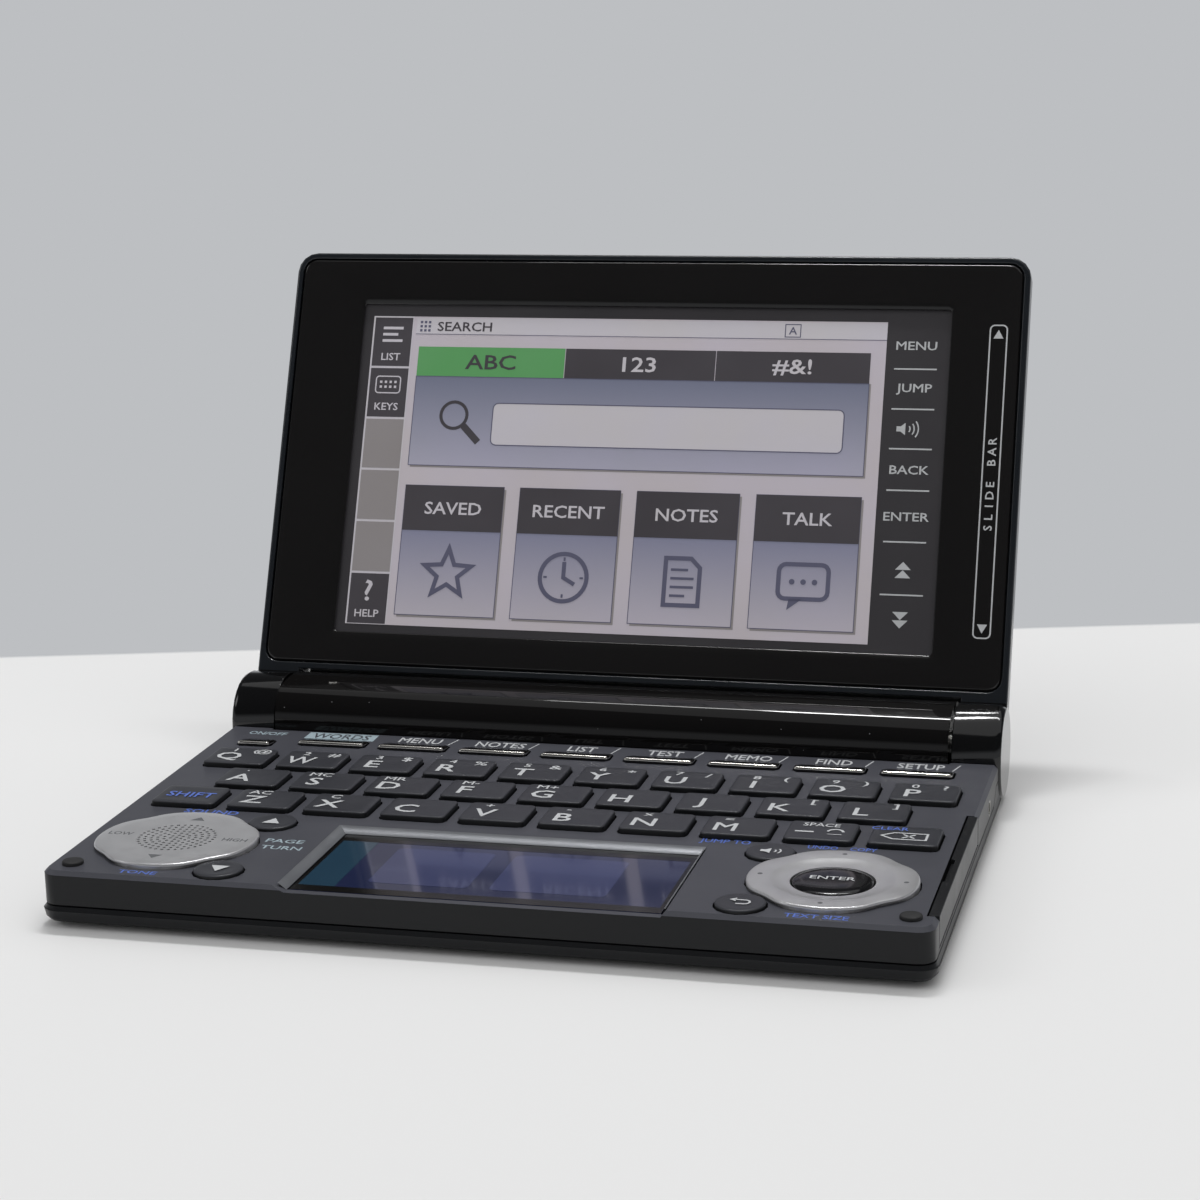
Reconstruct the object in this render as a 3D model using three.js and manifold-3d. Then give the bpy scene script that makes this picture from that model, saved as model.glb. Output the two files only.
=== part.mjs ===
import * as THREE from 'three';
import Module from 'manifold-3d';
import { mergeVertices } from 'three/addons/utils/BufferGeometryUtils.js';

const wasm = await Module();
wasm.setup();

// All lengths are in millimetres. X runs along the hinge, Y from the front edge to the back, Z up.
// The deck's front edge is at y = 0 and the feet stand on z = 0 until the last lines centre the object.

// Clearances used all over
const seatGap = 0.3;
const overrun = 2;

// Standing height and opening
const footHeight = 0.7;
const barrelClear = 0.55;
const openAngle = THREE.MathUtils.degToRad(114);
const wall = 1.5;

// Battery cells, barrel and cover
const cellDiameter = 14.5;
const cellLength = 50.5;
const cellPlay = 0.35;
const cellBevel = 0.5;
const nubRadius = 2.75;
const nubLength = 1.3;
const barrelWall = 1.3;
const barrelEndWall = 5.25;
const barrelProud = 0.8;
const barrelShoulder = 1.2;
const barrelChin = 1.5;
const shoulderShare = 0.64;
const creaseOutShare = 0.675;
const creaseUpShare = 0.883;
const crownShare = 2.92;
const crownBackShare = 0.506;
const crownBlendAngle = THREE.MathUtils.degToRad(40);
const crownBlendShare = 0.14;
const coverLowAngle = THREE.MathUtils.degToRad(-110);
const coverHighAngle = THREE.MathUtils.degToRad(35);
const coverEdgeAngle = THREE.MathUtils.degToRad(2.2);
const coverOverlap = 3;
const coverThickness = 1;
const coverTravel = 3;
const gripCount = 4;
const gripPitch = 2;
const gripWidth = 0.7;
const gripHeight = 0.3;
const gripLowAngle = THREE.MathUtils.degToRad(-50);
const gripHighAngle = THREE.MathUtils.degToRad(-15);
const gripInset = 8;

// Hinge units and the lid's knuckles
const hingeRadius = 3.4;
const hingeTangRadius = 2.8;
const hingeInBarrel = 8.4;
const hingeInKnuckle = 6.1;
const hingeStep = 1.2;
const hingeBevel = 0.4;
const knuckleWidth = 9;
const knuckleGap = 0.5;
const knuckleProud = 0.4;
const knuckleTaper = 1.1;
const knuckleDraft = 0.7;

// Lid
const lidKeyClear = 0.35;
const lidBarrelClear = 0.4;
const lidOverhang = 0.2;
const lidThickness = 6;
const lidBackWall = 1.4;
const lidRim = 1.2;
const lidLedge = 1.5;
const lidEdge = 2.6;
const lidCorner = 4;
const lidFoot = 2;
const lidFaceBevel = 0.3;

// Lid bezel and main screen
const bezelThickness = 1.5;
const bezelBevel = 0.25;
const windowInsetLeft = 15;
const windowInsetRight = 14.6;
const windowInsetBottom = 7.8;
const windowInsetTop = 10.5;
const windowBevel = 1.4;
const windowBevelDepth = 0.5;
const windowRadius = 0.6;
const screenRecess = 1;
const screenLap = 1.2;

// Keyboard
const keyInsetX = 4.4075;
const keyPitchY = 12;
const keyGap = 2.465;
const keyRowSetback = 1.8;
const keyRise = 1;
const keyTravel = 0.8;
const keyCorner = 1;
const keyBevel = 0.3;
const keyFlange = 0.4;
const flangeThickness = 0.6;
const topRowLetters = 'qwertyuiop';
const middleRowLetters = 'asdfghjkl';
const bottomRowLetters = 'zxcvbnm';
const letterRows = 3;
const middleRowShare = 0.5;

// Function row
const functionInsetLeft = 17.2;
const functionInsetRight = 7.02;
const functionGap = 2.94;
const functionDepth = 4.3;
const functionSetback = 4;
const functionCount = 8;
const functionRise = 0.9;
const functionCorner = 0.6;
const functionToBarrel = 5.2;
const powerInset = 5.7;
const powerWidth = 6.4;
const powerForward = 2;

// Pads
const padMarginLeft = 3.3;
const padMarginRight = 4.7;
const padMarginFront = 3.7;
const padRadius = 13.9;
const padNotch = 1.5;
const padRise = 1;
const padTravel = 0.5;
const padBevel = 0.4;
const padFlange = 0.5;
const padSkin = 1.2;
const padRim = 2.9;
const grilleRings = 4;
const grilleCount = 6;
const grilleHole = 0.4;
const grilleMargin = 2.5;
const ringFlat = 3.7;
const ringDishWidth = 3.3;
const ringDishDepth = 0.6;
const buttonDome = 0.5;
const buttonSkirt = 0.5;
const padToKey = 1.1777;
const roundKeyRadius = 4.1;
const roundKeyRise = 0.6;

// Lower screen
const screenToPad = 9.5;
const screenToKeys = 3.6;
const trimWide = 2.3;
const trimNarrow = 0.8;
const padScreenRecess = 1;
const padScreenThickness = 2;
const padScreenInset = 1.5;
const trayFloor = 1;
const trayWall = 1;

// Pen in the right wall
const penWidth = 2.5;
const penOuterWidth = 1.7;
const penInset = 6;
const penLength = 49.6;
const penHeight = 5;
const penStep = 1.7;
const penWall = 0.8;
const penNotchInset = 16;
const penNotchLength = 11;
const penNotchDepth = 0.8;
const penNotchWidth = 0.7;

// Upper case
const deckThickness = 1.4;
const deckBevel = 0.7;
const cornerRadius = 2.8;
const rearSetback = 1.7;
const earRise = 2.8;
const earRun = 3.8;
const earSetback = 15.6;
const stopRadius = 1.4;
const stopHeight = 0.6;
const stopInset = 4.2;
const stopInsetFront = 4.3;
const bossRadius = 2;
const bossInsetFront = 6;
const bossInsetBack = 4.4;
const bossFrontY = 5;
const bossSetback = 13.2;

// Lower case
const lowerHeight = 3.2;
const lipOut = 0.5;
const lipHeight = 0.8;
const lowerEdge = 2.4;
const floorThickness = 1.4;
const footRadius = 3.5;
const footInset = 12;
const footFrontY = 9;
const footSetback = 15.2;
const footSink = 1;
const postRadius = 2.5;
const postInset = 22;
const postFrontY = 14;
const postSetback = 23.2;

// Board, mat and ports
const boardThickness = 1;
const boardLift = 1.2;
const boardInset = 8.5;
const boardFrontY = 3.5;
const boardSetback = 12.2;
const matThickness = 0.7;
const matInset = 7;
const matMarginFront = 1.7;
const matMarginBack = 1.3;
const domeBase = 2.1;
const domeTop = 1.5;
const domeHeight = 1.15;
const speakerMargin = 1.5;
const speakerHeight = 2.2;
const speakerRim = 1;
const speakerDish = 0.8;
const jackSetback = 3.2;
const jackRadius = 1.5;
const jackLift = 1.6;
const jackShell = 0.65;
const jackLength = 12;
const jackBack = 2;
const usbSetback = 1.5;
const usbWidth = 7;
const usbHeight = 2.6;
const usbShell = 0.5;
const usbLength = 8.7;
const usbBack = 2;

// Facets
const cornerSteps = 4;
const keySteps = 2;
const padSteps = 32;
const roundSteps = 16;
const tubeSteps = 28;
const arcSteps = 14;
const smallSteps = 10;
const domeSteps = 5;
const grilleSteps = 4;

// Widths along the hinge, from the cells outwards
const boreRadius = cellDiameter / 2 + cellPlay;
const barrelRadius = boreRadius + barrelWall;
const bayHalf = cellLength + seatGap + seatGap / 2;
const coverHalf = bayHalf + coverOverlap;
const barrelHalf = bayHalf + barrelEndWall + seatGap + hingeInBarrel;
const knuckleInner = barrelHalf + knuckleGap;
const half = knuckleInner + knuckleWidth - knuckleProud;
const knuckleRadius = barrelRadius;
const hingeBore = hingeRadius + seatGap;

// Heights from the floor of the case up through the board, mat, domes and keys to the deck
const floorZ = footHeight + floorThickness;
const partingZ = footHeight + lowerHeight;
const boardZ = floorZ + boardLift;
const boardTopZ = boardZ + boardThickness;
const matZ = boardTopZ + seatGap;
const domeTopZ = matZ + matThickness + domeHeight;
const flangeBottomZ = domeTopZ + seatGap + keyTravel;
const flangeTopZ = flangeBottomZ + flangeThickness;
const deckUnderZ = flangeTopZ + seatGap;
const deckZ = deckUnderZ + deckThickness;
const bossLowZ = partingZ + earRise + seatGap;
const hingeAxisZ = barrelClear + barrelRadius;

// Places from the front edge back to the hinge
const clusterY = padMarginFront + padRadius;
const roundKeyOffset = (padRadius - padNotch + padToKey + roundKeyRadius) * Math.SQRT1_2;
const keyRowFrontY = clusterY + roundKeyOffset + roundKeyRadius + keyRowSetback;
const padScreenDepth = keyRowFrontY - screenToKeys;
const functionFrontY = keyRowFrontY + letterRows * keyPitchY + functionSetback;
const powerFrontY = functionFrontY - powerForward;
const barrelFront = barrelRadius + barrelProud;
const hingeAxisY = functionFrontY + functionDepth + functionToBarrel + barrelFront;
const caseRearY = hingeAxisY - barrelRadius + rearSetback;
const earFrontY = hingeAxisY - earSetback;
const bossBackY = hingeAxisY - bossSetback;
const jackY = functionFrontY - jackSetback;
const usbY = keyRowFrontY + keyPitchY + usbSetback;

// Places and widths across the deck
const keyPitchX = (half + half - keyInsetX - keyInsetX + keyGap) / topRowLetters.length;
const keyWidth = keyPitchX - keyGap;
const keyDepth = keyPitchY - keyGap;
const functionLeft = functionInsetLeft - half;
const functionPitch = (half - functionInsetRight - functionLeft + functionGap) / functionCount;
const functionWidth = functionPitch - functionGap;
const powerLeft = powerInset - half;
const padLeftX = padMarginLeft + padRadius - half;
const padRightX = half - padMarginRight - padRadius;
const padScreenLeft = padLeftX + padRadius + screenToPad;
const padScreenRight = padRightX - padRadius - screenToPad;
const padHollow = padRadius - padNotch - padRim;
const grillePitch = (padHollow - grilleMargin) / grilleRings;
const speakerRadius = padHollow - speakerMargin;
const ringDish = padRadius - ringFlat;
const ringHole = ringDish - ringDishWidth;
const portFace = half - wall - seatGap;
const usbLowZ = boardTopZ + usbShell;
const jackZ = boardTopZ + jackLift;

// Lid measured from the hinge axis: the closed lid lies just clear of the keys
const lidOffset = deckZ + keyRise + lidKeyClear - hingeAxisZ;
const lidBottom = barrelFront + lidBarrelClear;
const lidTop = hingeAxisY + lidOverhang;
const screenFace = lidOffset + screenRecess;
const screenBack = lidOffset + lidThickness - lidBackWall - seatGap;

// Quarter-round edges as [share of the inset, share of the rise] from the flat face to the side
const edgeShares = [[1, 0], [0.45, 0.12], [0.12, 0.45], [0, 1]];

// Smallest helpers: closed lofts, prisms and booleans

function roundedRing(box, radius, inset, z, steps) {
  const r = Math.max(radius - inset, seatGap);
  const corners = [
    [box.right - inset - r, box.back - inset - r],
    [box.left + inset + r, box.back - inset - r],
    [box.left + inset + r, box.front + inset + r],
    [box.right - inset - r, box.front + inset + r],
  ];
  const ring = [];
  corners.forEach(([x, y], quarter) => {
    for (let i = 0; i <= steps; i++) {
      const turn = (quarter + i / steps) * Math.PI / 2;
      ring.push(new THREE.Vector3(x + r * Math.cos(turn), y + r * Math.sin(turn), z));
    }
  });
  return ring;
}

function polarRing(centre, radiusAt, z, steps) {
  const ring = [];
  for (let i = 0; i < steps; i++) {
    const turn = i / steps * Math.PI * 2;
    const r = radiusAt(turn);
    ring.push(new THREE.Vector3(centre.x + r * Math.cos(turn), centre.y + r * Math.sin(turn), z));
  }
  return ring;
}

function sideFaces(count, lower, upper) {
  const faces = [];
  for (let i = 0; i < count; i++) {
    const next = (i + 1) % count;
    faces.push(lower + i, lower + next, upper + next);
    faces.push(lower + i, upper + next, upper + i);
  }
  return faces;
}

function geometryFrom(points, faces) {
  const geometry = new THREE.BufferGeometry();
  geometry.setFromPoints(points);
  geometry.setIndex(faces);
  return geometry;
}

function middleOf(ring) {
  const middle = new THREE.Vector3();
  ring.forEach((point) => middle.add(point));
  return middle.divideScalar(ring.length);
}

// Rings run anticlockwise seen from above and go up the outside of the piece.
function loft(rings) {
  const count = rings[0].length;
  const points = rings.flat();
  const faces = [];
  for (let k = 0; k + 1 < rings.length; k++) {
    faces.push(...sideFaces(count, k * count, (k + 1) * count));
  }
  const low = points.push(middleOf(rings[0])) - 1;
  const high = points.push(middleOf(rings[rings.length - 1])) - 1;
  const last = (rings.length - 1) * count;
  for (let i = 0; i < count; i++) {
    const next = (i + 1) % count;
    faces.push(low, next, i);
    faces.push(high, last + i, last + next);
  }
  return geometryFrom(points, faces);
}

function closedLoft(rings) {
  const count = rings[0].length;
  const faces = [];
  for (let k = 0; k < rings.length; k++) {
    faces.push(...sideFaces(count, k * count, (k + 1) % rings.length * count));
  }
  return geometryFrom(rings.flat(), faces);
}

function solid(geometry) {
  const bare = geometry.index ? geometry : geometry.clone();
  bare.deleteAttribute('normal');
  bare.deleteAttribute('uv');
  const merged = mergeVertices(bare);
  const vertProperties = new Float32Array(merged.attributes.position.array);
  const corners = merged.index.array;
  const faces = [];
  for (let i = 0; i < corners.length; i += 3) {
    const [a, b, c] = corners.slice(i, i + 3);
    if (a !== b && b !== c && c !== a) faces.push(a, b, c);
  }
  const triVerts = new Uint32Array(faces);
  return new wasm.Manifold(new wasm.Mesh({ numProp: 3, vertProperties, triVerts }));
}

function geometryOf(manifold) {
  const mesh = manifold.getMesh();
  const geometry = new THREE.BufferGeometry();
  geometry.setAttribute('position', new THREE.BufferAttribute(mesh.vertProperties, 3));
  geometry.setIndex(new THREE.BufferAttribute(mesh.triVerts, 1));
  return geometry;
}

function rectangle(left, right, front, back) {
  return { left, right, front, back };
}

function block(box, low, high) {
  const geometry = new THREE.BoxGeometry(box.right - box.left, box.back - box.front, high - low);
  geometry.translate((box.left + box.right) / 2, (box.front + box.back) / 2, (low + high) / 2);
  return solid(geometry);
}

function roundedBlock(box, radius, low, high, steps) {
  return solid(loft([low, high].map((z) => roundedRing(box, radius, 0, z, steps))));
}

function post(x, y, radius, low, high, steps) {
  const centre = new THREE.Vector2(x, y);
  return solid(loft([low, high].map((z) => polarRing(centre, () => radius, z, steps))));
}

// A profile drawn in Y and Z is drawn out along X.
function prismAlongX(shape, from, to, steps) {
  const geometry = new THREE.ExtrudeGeometry(shape, {
    depth: to - from, bevelEnabled: false, curveSegments: steps,
  });
  const axes = new THREE.Matrix4().makeBasis(
    new THREE.Vector3(0, 1, 0), new THREE.Vector3(0, 0, 1), new THREE.Vector3(1, 0, 0),
  );
  geometry.applyMatrix4(axes);
  geometry.translate(from, 0, 0);
  return solid(geometry);
}

// A profile of [along X, radius] pairs turned round the hinge axis.
function turnedAlongX(profile, steps) {
  const geometry = new THREE.LatheGeometry(profile.map(([x, r]) => new THREE.Vector2(r, x)), steps);
  geometry.rotateZ(-Math.PI / 2);
  return solid(geometry);
}

function rodAlongX(from, to, radius, steps) {
  return turnedAlongX([[from, 0], [from, radius], [to, radius], [to, 0]], steps);
}

function union(solids) {
  return solids.reduce((sum, next) => sum.add(next));
}

function cut(body, tools) {
  return tools.length ? body.subtract(union(tools)) : body;
}

function polarPoint(x, y, radius, angle) {
  return new THREE.Vector2(x + radius * Math.cos(angle), y + radius * Math.sin(angle));
}

function mirrorPair(build) {
  return [build(-1), build(1)];
}

// A piece turned round the X axis at the right end, and its like at the left end
function bothEnds(turned) {
  return [turned.rotate(0, 0, 180), turned];
}

function atHinge(turned) {
  return turned.translate(0, hingeAxisY, hingeAxisZ);
}

// Materials

function finish(color, roughness, metalness) {
  return new THREE.MeshStandardMaterial({ color, roughness, metalness });
}

const finishes = {
  deck: finish('#34363a', 0.6, 0),
  lowerCase: finish('#26282c', 0.6, 0),
  gloss: finish('#0c0c0d', 0.12, 0),
  lidShell: finish('#17181b', 0.45, 0),
  key: finish('#2b2c2f', 0.5, 0),
  functionKey: finish('#101011', 0.15, 0),
  silver: finish('#b4b6b8', 0.35, 0.9),
  screen: finish('#9a98a6', 0.2, 0),
  padScreen: finish('#26324a', 0.15, 0),
  steel: finish('#a7a9ab', 0.35, 1),
  cell: finish('#3a6b4c', 0.4, 0.3),
  board: finish('#1e4a34', 0.55, 0),
  rubber: finish('#b9babc', 0.8, 0),
};

// Outlines shared by neighbours

// The barrel is round at the back and has a flatter crown that ends in a crease above its front.
function barrelOutline(grow) {
  const front = barrelFront + grow;
  const back = barrelRadius + grow;
  const chin = barrelChin;
  const creaseUp = barrelRadius * creaseUpShare;
  const crown = barrelRadius * crownShare;
  const crownCrease = Math.asin(creaseOutShare / crownShare);
  const crownBack = Math.asin(crownBackShare / crownShare);
  const crownZ = hingeAxisZ + creaseUp - crown * Math.cos(crownCrease);
  const blend = barrelRadius * crownBlendShare;
  const start = polarPoint(hingeAxisY, hingeAxisZ, back, crownBlendAngle);
  const end = polarPoint(hingeAxisY, crownZ, crown + grow, Math.PI / 2 - crownBack);
  const shape = new THREE.Shape();
  shape.moveTo(hingeAxisY, hingeAxisZ - back);
  shape.absarc(hingeAxisY, hingeAxisZ, back, -Math.PI / 2, crownBlendAngle, false);
  shape.bezierCurveTo(
    start.x - blend * Math.sin(crownBlendAngle), start.y + blend * Math.cos(crownBlendAngle),
    end.x + blend * Math.cos(crownBack), end.y - blend * Math.sin(crownBack), end.x, end.y,
  );
  shape.absarc(
    hingeAxisY, crownZ, crown + grow, Math.PI / 2 - crownBack, Math.PI / 2 + crownCrease, false,
  );
  shape.quadraticCurveTo(
    hingeAxisY - front, hingeAxisZ + (creaseUp + barrelShoulder) * shoulderShare,
    hingeAxisY - front, hingeAxisZ + barrelShoulder,
  );
  shape.lineTo(hingeAxisY - front, hingeAxisZ - chin);
  shape.absellipse(
    hingeAxisY, hingeAxisZ - chin, front, back - chin, Math.PI, Math.PI * 3 / 2, false, 0,
  );
  return shape;
}

function partingOutline(gap) {
  const shape = new THREE.Shape();
  const far = hingeAxisY + barrelRadius + overrun;
  shape.moveTo(-overrun, -overrun);
  shape.lineTo(far, -overrun);
  shape.lineTo(far, partingZ + earRise + gap);
  shape.lineTo(earFrontY + earRun, partingZ + earRise + gap);
  shape.lineTo(earFrontY, partingZ + gap);
  shape.lineTo(-overrun, partingZ + gap);
  shape.closePath();
  return shape;
}

function sectorOutline(lowAngle, highAngle, inner, outer) {
  const shape = new THREE.Shape();
  shape.absarc(hingeAxisY, hingeAxisZ, outer, lowAngle, highAngle, false);
  shape.absarc(hingeAxisY, hingeAxisZ, inner, highAngle, lowAngle, true);
  shape.closePath();
  return shape;
}

// The rear of both case halves leaves room for the barrel and for the turning knuckles.
function rearClearance() {
  const barrelRoom = prismAlongX(barrelOutline(seatGap), -knuckleInner, knuckleInner, smallSteps);
  const knuckleRooms = bothEnds(rodAlongX(
    knuckleInner - seatGap, half + knuckleProud + overrun, knuckleRadius + seatGap, tubeSteps,
  )).map(atHinge);
  const beyond = rectangle(
    -half - overrun, half + overrun, caseRearY, hingeAxisY + barrelRadius + overrun,
  );
  return [barrelRoom, ...knuckleRooms, block(beyond, -overrun, deckZ + overrun)];
}

function caseBox(grow) {
  return rectangle(-half - grow, half + grow, -grow, hingeAxisY + cornerRadius);
}

// Key places

function letterRow(names, row, shiftShare) {
  const left = -(topRowLetters.length * keyPitchX - keyGap) / 2 + shiftShare * keyPitchX;
  const front = keyRowFrontY + row * keyPitchY;
  return names.map((name, i) => ({
    name: `key_${name}`,
    box: rectangle(
      left + i * keyPitchX, left + i * keyPitchX + keyWidth, front, front + keyDepth,
    ),
  }));
}

function letterKeys() {
  return [
    ...letterRow([...topRowLetters], 2, 0),
    ...letterRow([...middleRowLetters], 1, middleRowShare),
    ...letterRow(['shift', ...bottomRowLetters, 'dash', 'delete'], 0, 0),
  ];
}

function functionKeys() {
  const power = {
    name: 'key_power',
    box: rectangle(powerLeft, powerLeft + powerWidth, powerFrontY, powerFrontY + functionDepth),
  };
  const wide = Array.from({ length: functionCount }, (_, i) => {
    const left = functionLeft + i * functionPitch;
    return {
      name: `key_function_${i + 1}`,
      box: rectangle(left, left + functionWidth, functionFrontY, functionFrontY + functionDepth),
    };
  });
  return [power, ...wide];
}

function roundKeys() {
  return [
    { name: 'key_page_up', x: padLeftX + roundKeyOffset, y: clusterY + roundKeyOffset },
    { name: 'key_page_down', x: padLeftX + roundKeyOffset, y: clusterY - roundKeyOffset },
    { name: 'key_voice', x: padRightX - roundKeyOffset, y: clusterY + roundKeyOffset },
    { name: 'key_back', x: padRightX - roundKeyOffset, y: clusterY - roundKeyOffset },
  ];
}

// Radius of the four-lobed pads, drawn in at the diagonals
function lobedRadius(grow) {
  return (turn) => padRadius + grow - padNotch * Math.sin(2 * turn) ** 4;
}

// Upper case

function deckOpenings() {
  const low = partingZ;
  const high = deckZ + overrun;
  const boxes = [
    ...letterKeys().map((key) => [key.box, keyCorner, keySteps]),
    ...functionKeys().map((key) => [key.box, functionCorner, 1]),
  ];
  const keyHoles = boxes.map(([box, corner, steps]) => {
    const rings = [low, high].map((z) => roundedRing(box, corner, -seatGap, z, steps));
    return solid(loft(rings));
  });
  const padHoles = [padLeftX, padRightX].map((x) => {
    const centre = new THREE.Vector2(x, clusterY);
    return solid(loft([low, high].map((z) => polarRing(centre, lobedRadius(seatGap), z, padSteps))));
  });
  const roundHoles = roundKeys().map(
    (key) => post(key.x, key.y, roundKeyRadius + seatGap, low, high, roundSteps),
  );
  return [...keyHoles, ...padHoles, ...roundHoles];
}

// The lower screen lies in a tray open at the front, behind a sloped border.
function padScreenRoom() {
  const floor = deckZ - padScreenRecess;
  const corners = (left, right, back, z) => [
    new THREE.Vector3(right, back, z), new THREE.Vector3(left, back, z),
    new THREE.Vector3(left, -lipOut - overrun, z), new THREE.Vector3(right, -lipOut - overrun, z),
  ];
  const inner = [padScreenLeft + trimWide, padScreenRight - trimNarrow, padScreenDepth - trimWide];
  const outer = [padScreenLeft, padScreenRight, padScreenDepth];
  const border = solid(loft([
    corners(...inner, floor), corners(...outer, deckZ), corners(...outer, deckZ + overrun),
  ]));
  const tray = block(
    rectangle(inner[0], inner[1], padScreenInset, inner[2]),
    floor - padScreenThickness - seatGap, floor + overrun,
  );
  return [border, tray];
}

function padScreenTray() {
  const box = rectangle(
    padScreenLeft - trayWall, padScreenRight + trayWall, wall / 2, padScreenDepth + trayWall,
  );
  const low = deckZ - padScreenRecess - padScreenThickness - seatGap - trayFloor;
  return block(box, low, deckUnderZ + seatGap);
}

function penBox(grow) {
  return rectangle(half - penWidth - grow, half, penInset - grow, penInset + penLength + grow);
}

function penHolder() {
  const room = penBox(seatGap);
  const box = rectangle(room.left - penWall, half - wall / 2, room.front - penWall, room.back + penWall);
  return block(box, deckZ - penHeight - seatGap - penWall, deckUnderZ + seatGap);
}

function penRoom() {
  const box = penBox(seatGap);
  const wide = { ...box, right: half + overrun };
  const open = { ...wide, left: half - penOuterWidth - seatGap };
  return [
    block(wide, deckZ - penHeight - seatGap, deckZ - penStep + seatGap),
    block(open, deckZ - penHeight, deckZ + overrun),
  ];
}

function screwPlaces() {
  return [
    ...mirrorPair((side) => [side * (half - bossInsetFront), bossFrontY]),
    ...mirrorPair((side) => [side * (half - bossInsetBack), bossBackY]),
  ];
}

function screwBosses() {
  return screwPlaces().map(
    ([x, y]) => post(x, y, bossRadius, bossLowZ, deckUnderZ + seatGap, smallSteps),
  );
}

function rubberStops() {
  const foot = deckUnderZ + seatGap;
  return mirrorPair((side) => post(
    side * (half - stopInset), stopInsetFront, stopRadius, foot, deckZ + stopHeight, smallSteps,
  ));
}

function sidePorts() {
  const jack = rodAlongX(half - wall - overrun, half + overrun, jackRadius, smallSteps)
    .translate(0, jackY, jackZ);
  const usb = block(
    rectangle(-half - overrun, -half + wall + overrun, usbY, usbY + usbWidth),
    usbLowZ, usbLowZ + usbHeight,
  );
  return [jack, usb];
}

function upperCase() {
  const outside = caseBox(0);
  const shell = solid(loft([
    roundedRing(outside, cornerRadius, 0, partingZ - overrun, cornerSteps),
    roundedRing(outside, cornerRadius, 0, deckZ - deckBevel, cornerSteps),
    roundedRing(outside, cornerRadius, deckBevel, deckZ, cornerSteps),
  ]));
  const inside = { ...outside, back: outside.back + cornerRadius };
  const hollow = solid(loft([
    roundedRing(inside, cornerRadius, wall, -overrun, cornerSteps),
    roundedRing(inside, cornerRadius, wall, deckUnderZ, cornerSteps),
  ]));
  const body = union([
    shell.subtract(hollow), padScreenTray(), penHolder(), ...screwBosses(), ...rubberStops(),
  ]);
  const below = prismAlongX(partingOutline(seatGap / 2), -half - overrun, half + overrun, 1);
  return body.subtract(union([
    below, ...rearClearance(), ...deckOpenings(), ...padScreenRoom(), ...penRoom(), ...sidePorts(),
  ]));
}

// Lower case

function lowerCase() {
  const outside = caseBox(lipOut);
  const corner = cornerRadius + lipOut;
  const top = partingZ + earRise;
  const rings = edgeShares.map(([insetShare, riseShare]) => roundedRing(
    outside, corner, lowerEdge * insetShare, footHeight + lowerEdge * riseShare, cornerSteps,
  ));
  rings.push(roundedRing(outside, corner, lipOut / 4, partingZ - lipHeight, cornerSteps));
  rings.push(roundedRing(outside, corner, lipOut, partingZ - seatGap / 2, cornerSteps));
  rings.push(roundedRing(outside, corner, lipOut, top + overrun, cornerSteps));
  const inside = { ...caseBox(0), back: caseRearY - wall };
  const hollow = solid(loft([
    roundedRing(inside, cornerRadius, wall, floorZ, cornerSteps),
    roundedRing(inside, cornerRadius, wall, top + overrun + overrun, cornerSteps),
  ]));
  const towers = screwPlaces().map(
    ([x, y]) => post(x, y, bossRadius, floorZ - seatGap, bossLowZ - seatGap, smallSteps),
  );
  const ground = [postFrontY, hingeAxisY - postSetback].flatMap((y) => mirrorPair(
    (side) => post(side * (half - postInset), y, postRadius, floorZ - seatGap, boardZ - seatGap, smallSteps),
  ));
  const feet = [footFrontY, hingeAxisY - footSetback].flatMap((y) => mirrorPair((side) => post(
    side * (half - footInset), y, footRadius, 0, footHeight + footSink, roundSteps,
  )));
  const shell = solid(loft(rings)).subtract(hollow)
    .intersect(prismAlongX(partingOutline(-seatGap / 2), -half - overrun, half + overrun, 1));
  return cut(union([shell, ...towers, ...ground, ...feet]), [...rearClearance(), ...penRoom()]);
}

// Battery barrel, cover and cells

function barrel() {
  const skin = prismAlongX(barrelOutline(0), -barrelHalf, barrelHalf, arcSteps);
  const bay = atHinge(rodAlongX(-bayHalf, bayHalf, boreRadius, tubeSteps));
  const opening = sectorOutline(
    coverLowAngle - coverEdgeAngle, coverHighAngle + coverEdgeAngle, boreRadius, barrelFront + overrun,
  );
  const window = prismAlongX(
    opening, -coverHalf - seatGap, coverHalf + coverTravel + seatGap, arcSteps,
  );
  const hingeRooms = bothEnds(rodAlongX(
    barrelHalf - hingeInBarrel - seatGap, barrelHalf + overrun, hingeBore, roundSteps,
  )).map(atHinge);
  return cut(skin, [bay, window, ...hingeRooms]);
}

function barrelCover() {
  const inner = barrelRadius - coverThickness;
  const outline = sectorOutline(coverLowAngle, coverHighAngle, inner, barrelRadius);
  const shell = prismAlongX(outline, -coverHalf, coverHalf, arcSteps);
  const rib = sectorOutline(
    gripLowAngle, gripHighAngle, barrelRadius - gripHeight, barrelRadius + gripHeight,
  );
  const ribs = Array.from({ length: gripCount }, (_, i) => {
    const x = coverHalf - gripInset - i * gripPitch;
    return prismAlongX(rib, x - gripWidth, x, grilleSteps);
  });
  return union([shell, ...ribs]);
}

function cell(side) {
  const radius = cellDiameter / 2;
  const body = cellLength - nubLength;
  const start = side > 0 ? seatGap / 2 : -cellLength - seatGap / 2;
  const profile = [
    [0, 0], [0, radius - cellBevel], [cellBevel, radius], [body - cellBevel, radius],
    [body, radius - cellBevel], [body, nubRadius], [cellLength, nubRadius], [cellLength, 0],
  ];
  return atHinge(turnedAlongX(profile.map(([x, r]) => [start + x, r]), roundSteps));
}

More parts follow.
